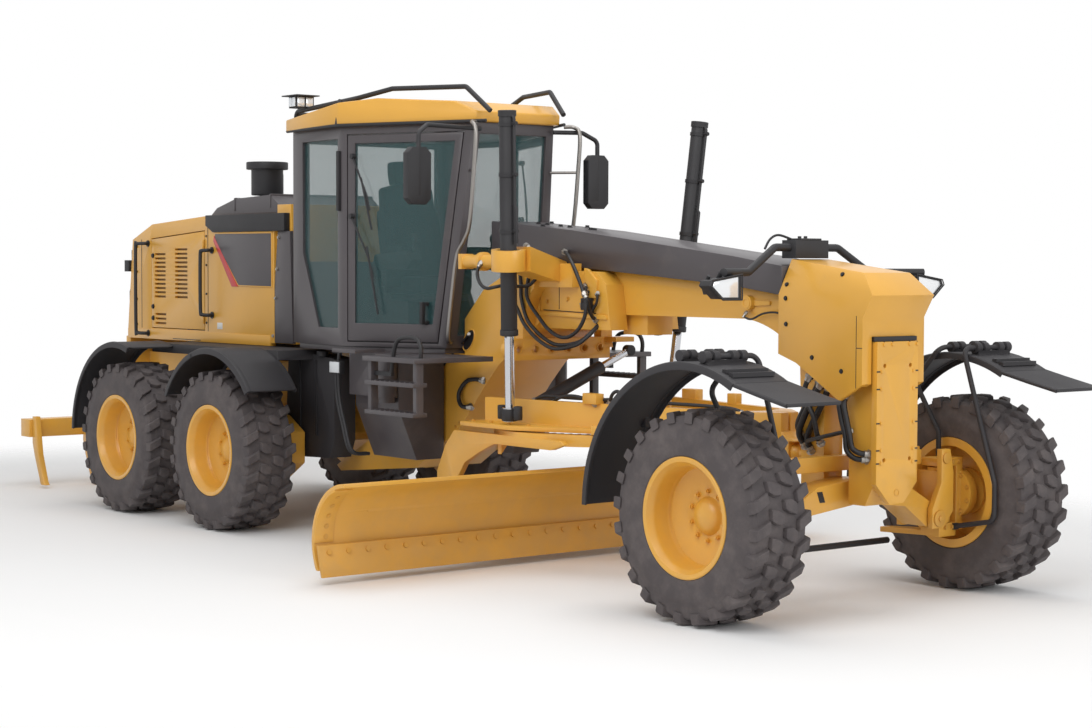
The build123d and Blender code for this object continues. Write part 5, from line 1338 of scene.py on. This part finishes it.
class GRADER_OT_blade(GraderOperator, bpy.types.Operator):
    """Edge bolts, end bits and the drawbar's brackets"""
    bl_idname = "grader.blade"
    bl_label = "Blade and drawbar trim"

    def build(self):
        edge_bolts, pitch = 29, 0.1471
        head = Shape().tube([at(-2.54, -2.06, 0.20), at(-2.516, -2.06, 0.207)], 0.017, 16)
        row = repeated(head, "edge_bolts", "edge", row_repeat, count=edge_bolts, step=(0, pitch, 0))
        finished(row, "edge_bolts", "edge", "blade", smooth=30)
        bits = Shape()
        raised, sunk, width = 0.009, 0.004, 0.14
        heights = [0.262 + 0.036 * step for step in range(11)]
        for y in (-BLADE_END, BLADE_END - width):
            line = [on_blade_face(z, y) for z in heights]
            bits.ribbon([point + aim * raised for point, aim in line],
                        [point - aim * sunk for point, aim in line], (0, width, 0))
        bits.piece("end_bits", "yellow", "blade", 0.002)
        heads = []
        for z in (0.30, 0.37, 0.44, 0.51, 0.57):
            for s in (-1, 1):
                point, aim = on_blade_face(z, s * 2.05)
                heads.append((point + aim * raised, aim))
        bolts("end_bit_bolts", heads, "blade", "edge", radius=0.014, height=0.006, sides=14)
        wear = Shape()
        for y0, y1 in ((-1.74, -1.05), (-0.95, -0.35), (0.35, 0.95), (1.05, 1.74)):
            wear.block(at(-2.706, y0, 0.436), at(-2.62, y1, 0.504))
        wear.piece("slide_wear_strips", "steel", "blade", 0.002)
        brackets = Shape()
        for x0, x1, y0, y1 in ((-1.93, -1.79, 0.405, 0.475), (-1.36, -1.28, 0.29, 0.35)):
            brackets.block(at(x0, -y1, 1.12), at(x1, -y0, 1.19))
        brackets.mirrored().piece("drawbar_brackets", "yellow", "drawbar", 0.005)
        heads = [(at(x, s * y, 0.965), (0, 0, 1)) for s in (-1, 1) for x, y in
                 ((-2.80, 0.72), (-2.60, 0.72), (-2.40, 0.72), (-2.22, 0.70))]
        drive_x = -1.69
        heads += [(at(drive_x + x, y, 1.075), (0, 0, 1)) for x, y in bolt_circle(12, 0.105)]
        bolts("drawbar_bolts", heads, "drawbar", "edge", radius=0.012, height=0.011)
        motor = Shape().lathe([(0.0, 0.0), (0.062, 0.0), (0.062, 0.02), (0.04, 0.028), (0.0, 0.028)],
                              at(drive_x, 0, 1.188), "Z", 1, 24)
        motor.piece("drive_cap", "edge", "drawbar")


def arc_lip(shape, centre_x, radius, start, end, profile, steps):
    """Sweeps a section of (y, height above the radius) round a wheel, angles from straight ahead."""
    rings = []
    for step in range(steps + 1):
        a = math.radians(start + (end - start) * step / steps)
        rings.append([shape.mesh.verts.new(at(centre_x + (radius + rise) * math.cos(a), y,
                                              AXLE_Z + (radius + rise) * math.sin(a)))
                      for y, rise in profile])
    return shape._faces(rings, closed=False)


class GRADER_OT_fenders(GraderOperator, bpy.types.Operator):
    """Rolled lips of the fenders, clamp details and lugs"""
    bl_idname = "grader.fenders"
    bl_label = "Fender trim"

    def build(self):
        outer = [(-1.30, -0.002), (-1.328, 0.003), (-1.343, -0.003), (-1.350, -0.018), (-1.350, -0.045),
                 (-1.340, -0.047), (-1.336, -0.018), (-1.30, -0.0165)]
        inner = [(-0.96, -0.002), (-0.932, 0.003), (-0.919, -0.004), (-0.915, -0.018), (-0.915, -0.040),
                 (-0.924, -0.042), (-0.928, -0.018), (-0.96, -0.0165)]
        sheet = [(-1.334, -0.0165), (-1.334, 0.0), (-0.926, 0.0), (-0.926, -0.0165)]
        rear_radius, front_radius = 0.78, 0.88
        front_wheel, rear_wheel = REAR_X + TANDEM_HALF, REAR_X - TANDEM_HALF
        for name, x, start, end, profiles, steps in (
                ("fender_lips_rear_front", front_wheel, 38, 108, (outer, inner), 24),
                ("fender_lips_rear_rear", rear_wheel, 72, 178, (outer, inner), 34),
                ("fender_between_wheels", front_wheel, 107, 149, (sheet, outer, inner), 16)):
            arc = Shape()
            for profile in profiles:
                arc_lip(arc, x, rear_radius, start, end, profile, steps)
            arc.mirrored().piece(name, "fender", "rear_frame")
        for s, name in ((-1, "right"), (1, "left")):
            lips = Shape()
            for profile in (outer, inner):
                arc_lip(lips, 0.0, front_radius, 62, 180, [(-s * y, r) for y, r in profile], 40)
            tip = [(0.408, 1.383), (0.60, 1.338), (0.812, 1.292)]
            for y in (0.93, 1.33):
                lips.tube([at(x, s * y, z - 0.004) for x, z in tip], 0.013, 10)
            lips.tube([at(0.808, s * 0.93, 1.290), at(0.808, s * 1.33, 1.290)], 0.012, 10)
            lips.side_block(s, (-0.765, 0.96, 1.065), (-0.70, 1.0, 1.13))
            for x, z in ((0.28, 1.435), (0.33, 1.4175)):
                lips.side_block(s, (x, 0.98, z), (x + 0.035, 1.30, z + 0.025))
            lips.piece("fender_lips_front_" + name, "fender", "knuckle_" + name)


# ---------------------------------------------------------------- stage
class GRADER_OT_stage(GraderOperator, bpy.types.Operator):
    """Pale floor, soft lamps and the camera"""
    bl_idname = "grader.stage"
    bl_label = "Stage"

    def build(self):
        self.floor()
        self.world()
        self.lamp("key", at(2.5, -9.0, 9.0), at(-3.0, 0.0, 1.0), 9.0, 640.0)
        self.lamp("top", at(-3.5, 0.5, 11.0), at(-3.5, 0.0, 0.0), 10.0, 420.0)
        self.lamp("nose", at(11.0, 1.0, 5.0), at(-1.0, 0.0, 1.2), 7.0, 420.0)
        self.camera()

    def floor(self):
        reach = 60.0
        mesh = bpy.data.meshes.new("floor")
        mesh.from_pydata([(-reach, -reach, 0), (reach, -reach, 0), (reach, reach, 0), (-reach, reach, 0)],
                         [], [(0, 1, 2, 3)])
        floor = linked("floor", mesh)
        surface = Finish("studio floor")
        material = surface.set(base_color=linear(238, 238, 238), roughness=0.9)
        oval_place = surface.mapped(scale=(1.0, 1.5, 1.0))
        away = surface.add("ShaderNodeVectorMath", {"operation": "LENGTH"}, [oval_place], output="Value")
        clear = surface.add("ShaderNodeBsdfTransparent")
        fade_start, fade_end = 6.2, 9.5
        share = surface.ramp(away, fade_start, fade_end)
        mix = surface.add("ShaderNodeMixShader", None, [share])
        surface.tree.links.new(surface.shader.outputs[0], mix.socket.node.inputs[1])
        surface.tree.links.new(clear.socket, mix.socket.node.inputs[2])
        surface.tree.links.new(mix.socket, surface.tree.nodes["Material Output"].inputs["Surface"])
        mesh.materials.append(material)

    def world(self):
        world = bpy.data.worlds.new("studio")
        bpy.context.scene.world = world
        world.use_nodes = True
        tree = world.node_tree
        rays = tree.nodes.new("ShaderNodeLightPath")
        seen = tree.nodes.new("ShaderNodeMath")
        seen.operation = "MAXIMUM"
        through = tree.nodes.new("ShaderNodeMath")
        through.operation = "MAXIMUM"
        tree.links.new(rays.outputs["Is Camera Ray"], seen.inputs[0])
        tree.links.new(rays.outputs["Is Glossy Ray"], seen.inputs[1])
        tree.links.new(seen.outputs[0], through.inputs[0])
        tree.links.new(rays.outputs["Is Transmission Ray"], through.inputs[1])
        strength = tree.nodes.new("ShaderNodeMapRange")
        # camera, glossy and transmission rays get the full white, all others the weaker one
        strength.inputs["To Min"].default_value = 0.55
        strength.inputs["To Max"].default_value = 1.0
        tree.links.new(through.outputs[0], strength.inputs["Value"])
        sky = tree.nodes["Background"]
        sky.inputs["Color"].default_value = (1.0, 1.0, 1.0, 1.0)
        tree.links.new(strength.outputs[0], sky.inputs["Strength"])

    def lamp(self, name, place, target, size, power):
        light = bpy.data.lights.new(name, "AREA")
        light.shape = "DISK"
        light.size = size
        light.energy = power
        aim = (target - place).to_track_quat("-Z", "Y").to_matrix().to_4x4()
        linked(name, light).matrix_world = Matrix.Translation(place) @ aim

    def camera(self):
        scene = bpy.context.scene
        turn, rise, roll = math.radians(51.4984), math.radians(2.7046), math.radians(0.178)
        back = Vector((math.sin(turn) * math.cos(rise), -math.cos(turn) * math.cos(rise),
                       math.sin(rise)))
        side = Vector((math.cos(turn), math.sin(turn), 0))
        up = back.cross(side)
        right = math.cos(roll) * side + math.sin(roll) * up
        up = math.cos(roll) * up - math.sin(roll) * side
        place = at(8.6956, -9.2318, 2.0306)
        lens = bpy.data.cameras.new("camera")
        lens.lens = 69.23
        lens.sensor_width = 36.0
        camera = linked("camera", lens)
        aim = Matrix((right, up, back)).transposed().to_4x4()
        camera.matrix_world = Matrix.Translation(place) @ aim
        scene.camera = camera
        scene.view_settings.view_transform = "Standard"


# ---------------------------------------------------------------- panel and run
class GRADER_PT_panel(bpy.types.Panel):
    """Lists the grader's pieces"""
    bl_idname = "GRADER_PT_panel"
    bl_label = "Motor grader"
    bl_space_type = "VIEW_3D"
    bl_region_type = "UI"
    bl_category = "Grader"

    def draw(self, context):
        for operator in OPERATORS:
            self.layout.operator(operator.bl_idname)


OPERATORS = (
    GRADER_OT_tyres, GRADER_OT_rims, GRADER_OT_frames, GRADER_OT_glass, GRADER_OT_bonnet,
    GRADER_OT_nose, GRADER_OT_hoses, GRADER_OT_saddle, GRADER_OT_cab, GRADER_OT_axle,
    GRADER_OT_blade, GRADER_OT_fenders, GRADER_OT_stage,
)


def register():
    for group in (GraderColours, GraderSizes) + OPERATORS + (GRADER_PT_panel,):
        bpy.utils.register_class(group)
    bpy.types.Scene.grader_colours = bpy.props.PointerProperty(type=GraderColours)
    bpy.types.Scene.grader_sizes = bpy.props.PointerProperty(type=GraderSizes)


def unregister():
    del bpy.types.Scene.grader_sizes
    del bpy.types.Scene.grader_colours
    for group in reversed((GraderColours, GraderSizes) + OPERATORS + (GRADER_PT_panel,)):
        bpy.utils.unregister_class(group)


def main():
    register()
    make_finishes(colours())
    for operator in OPERATORS:
        family, name = operator.bl_idname.split(".")
        getattr(getattr(bpy.ops, family), name)()


if __name__ == "__main__":
    main()
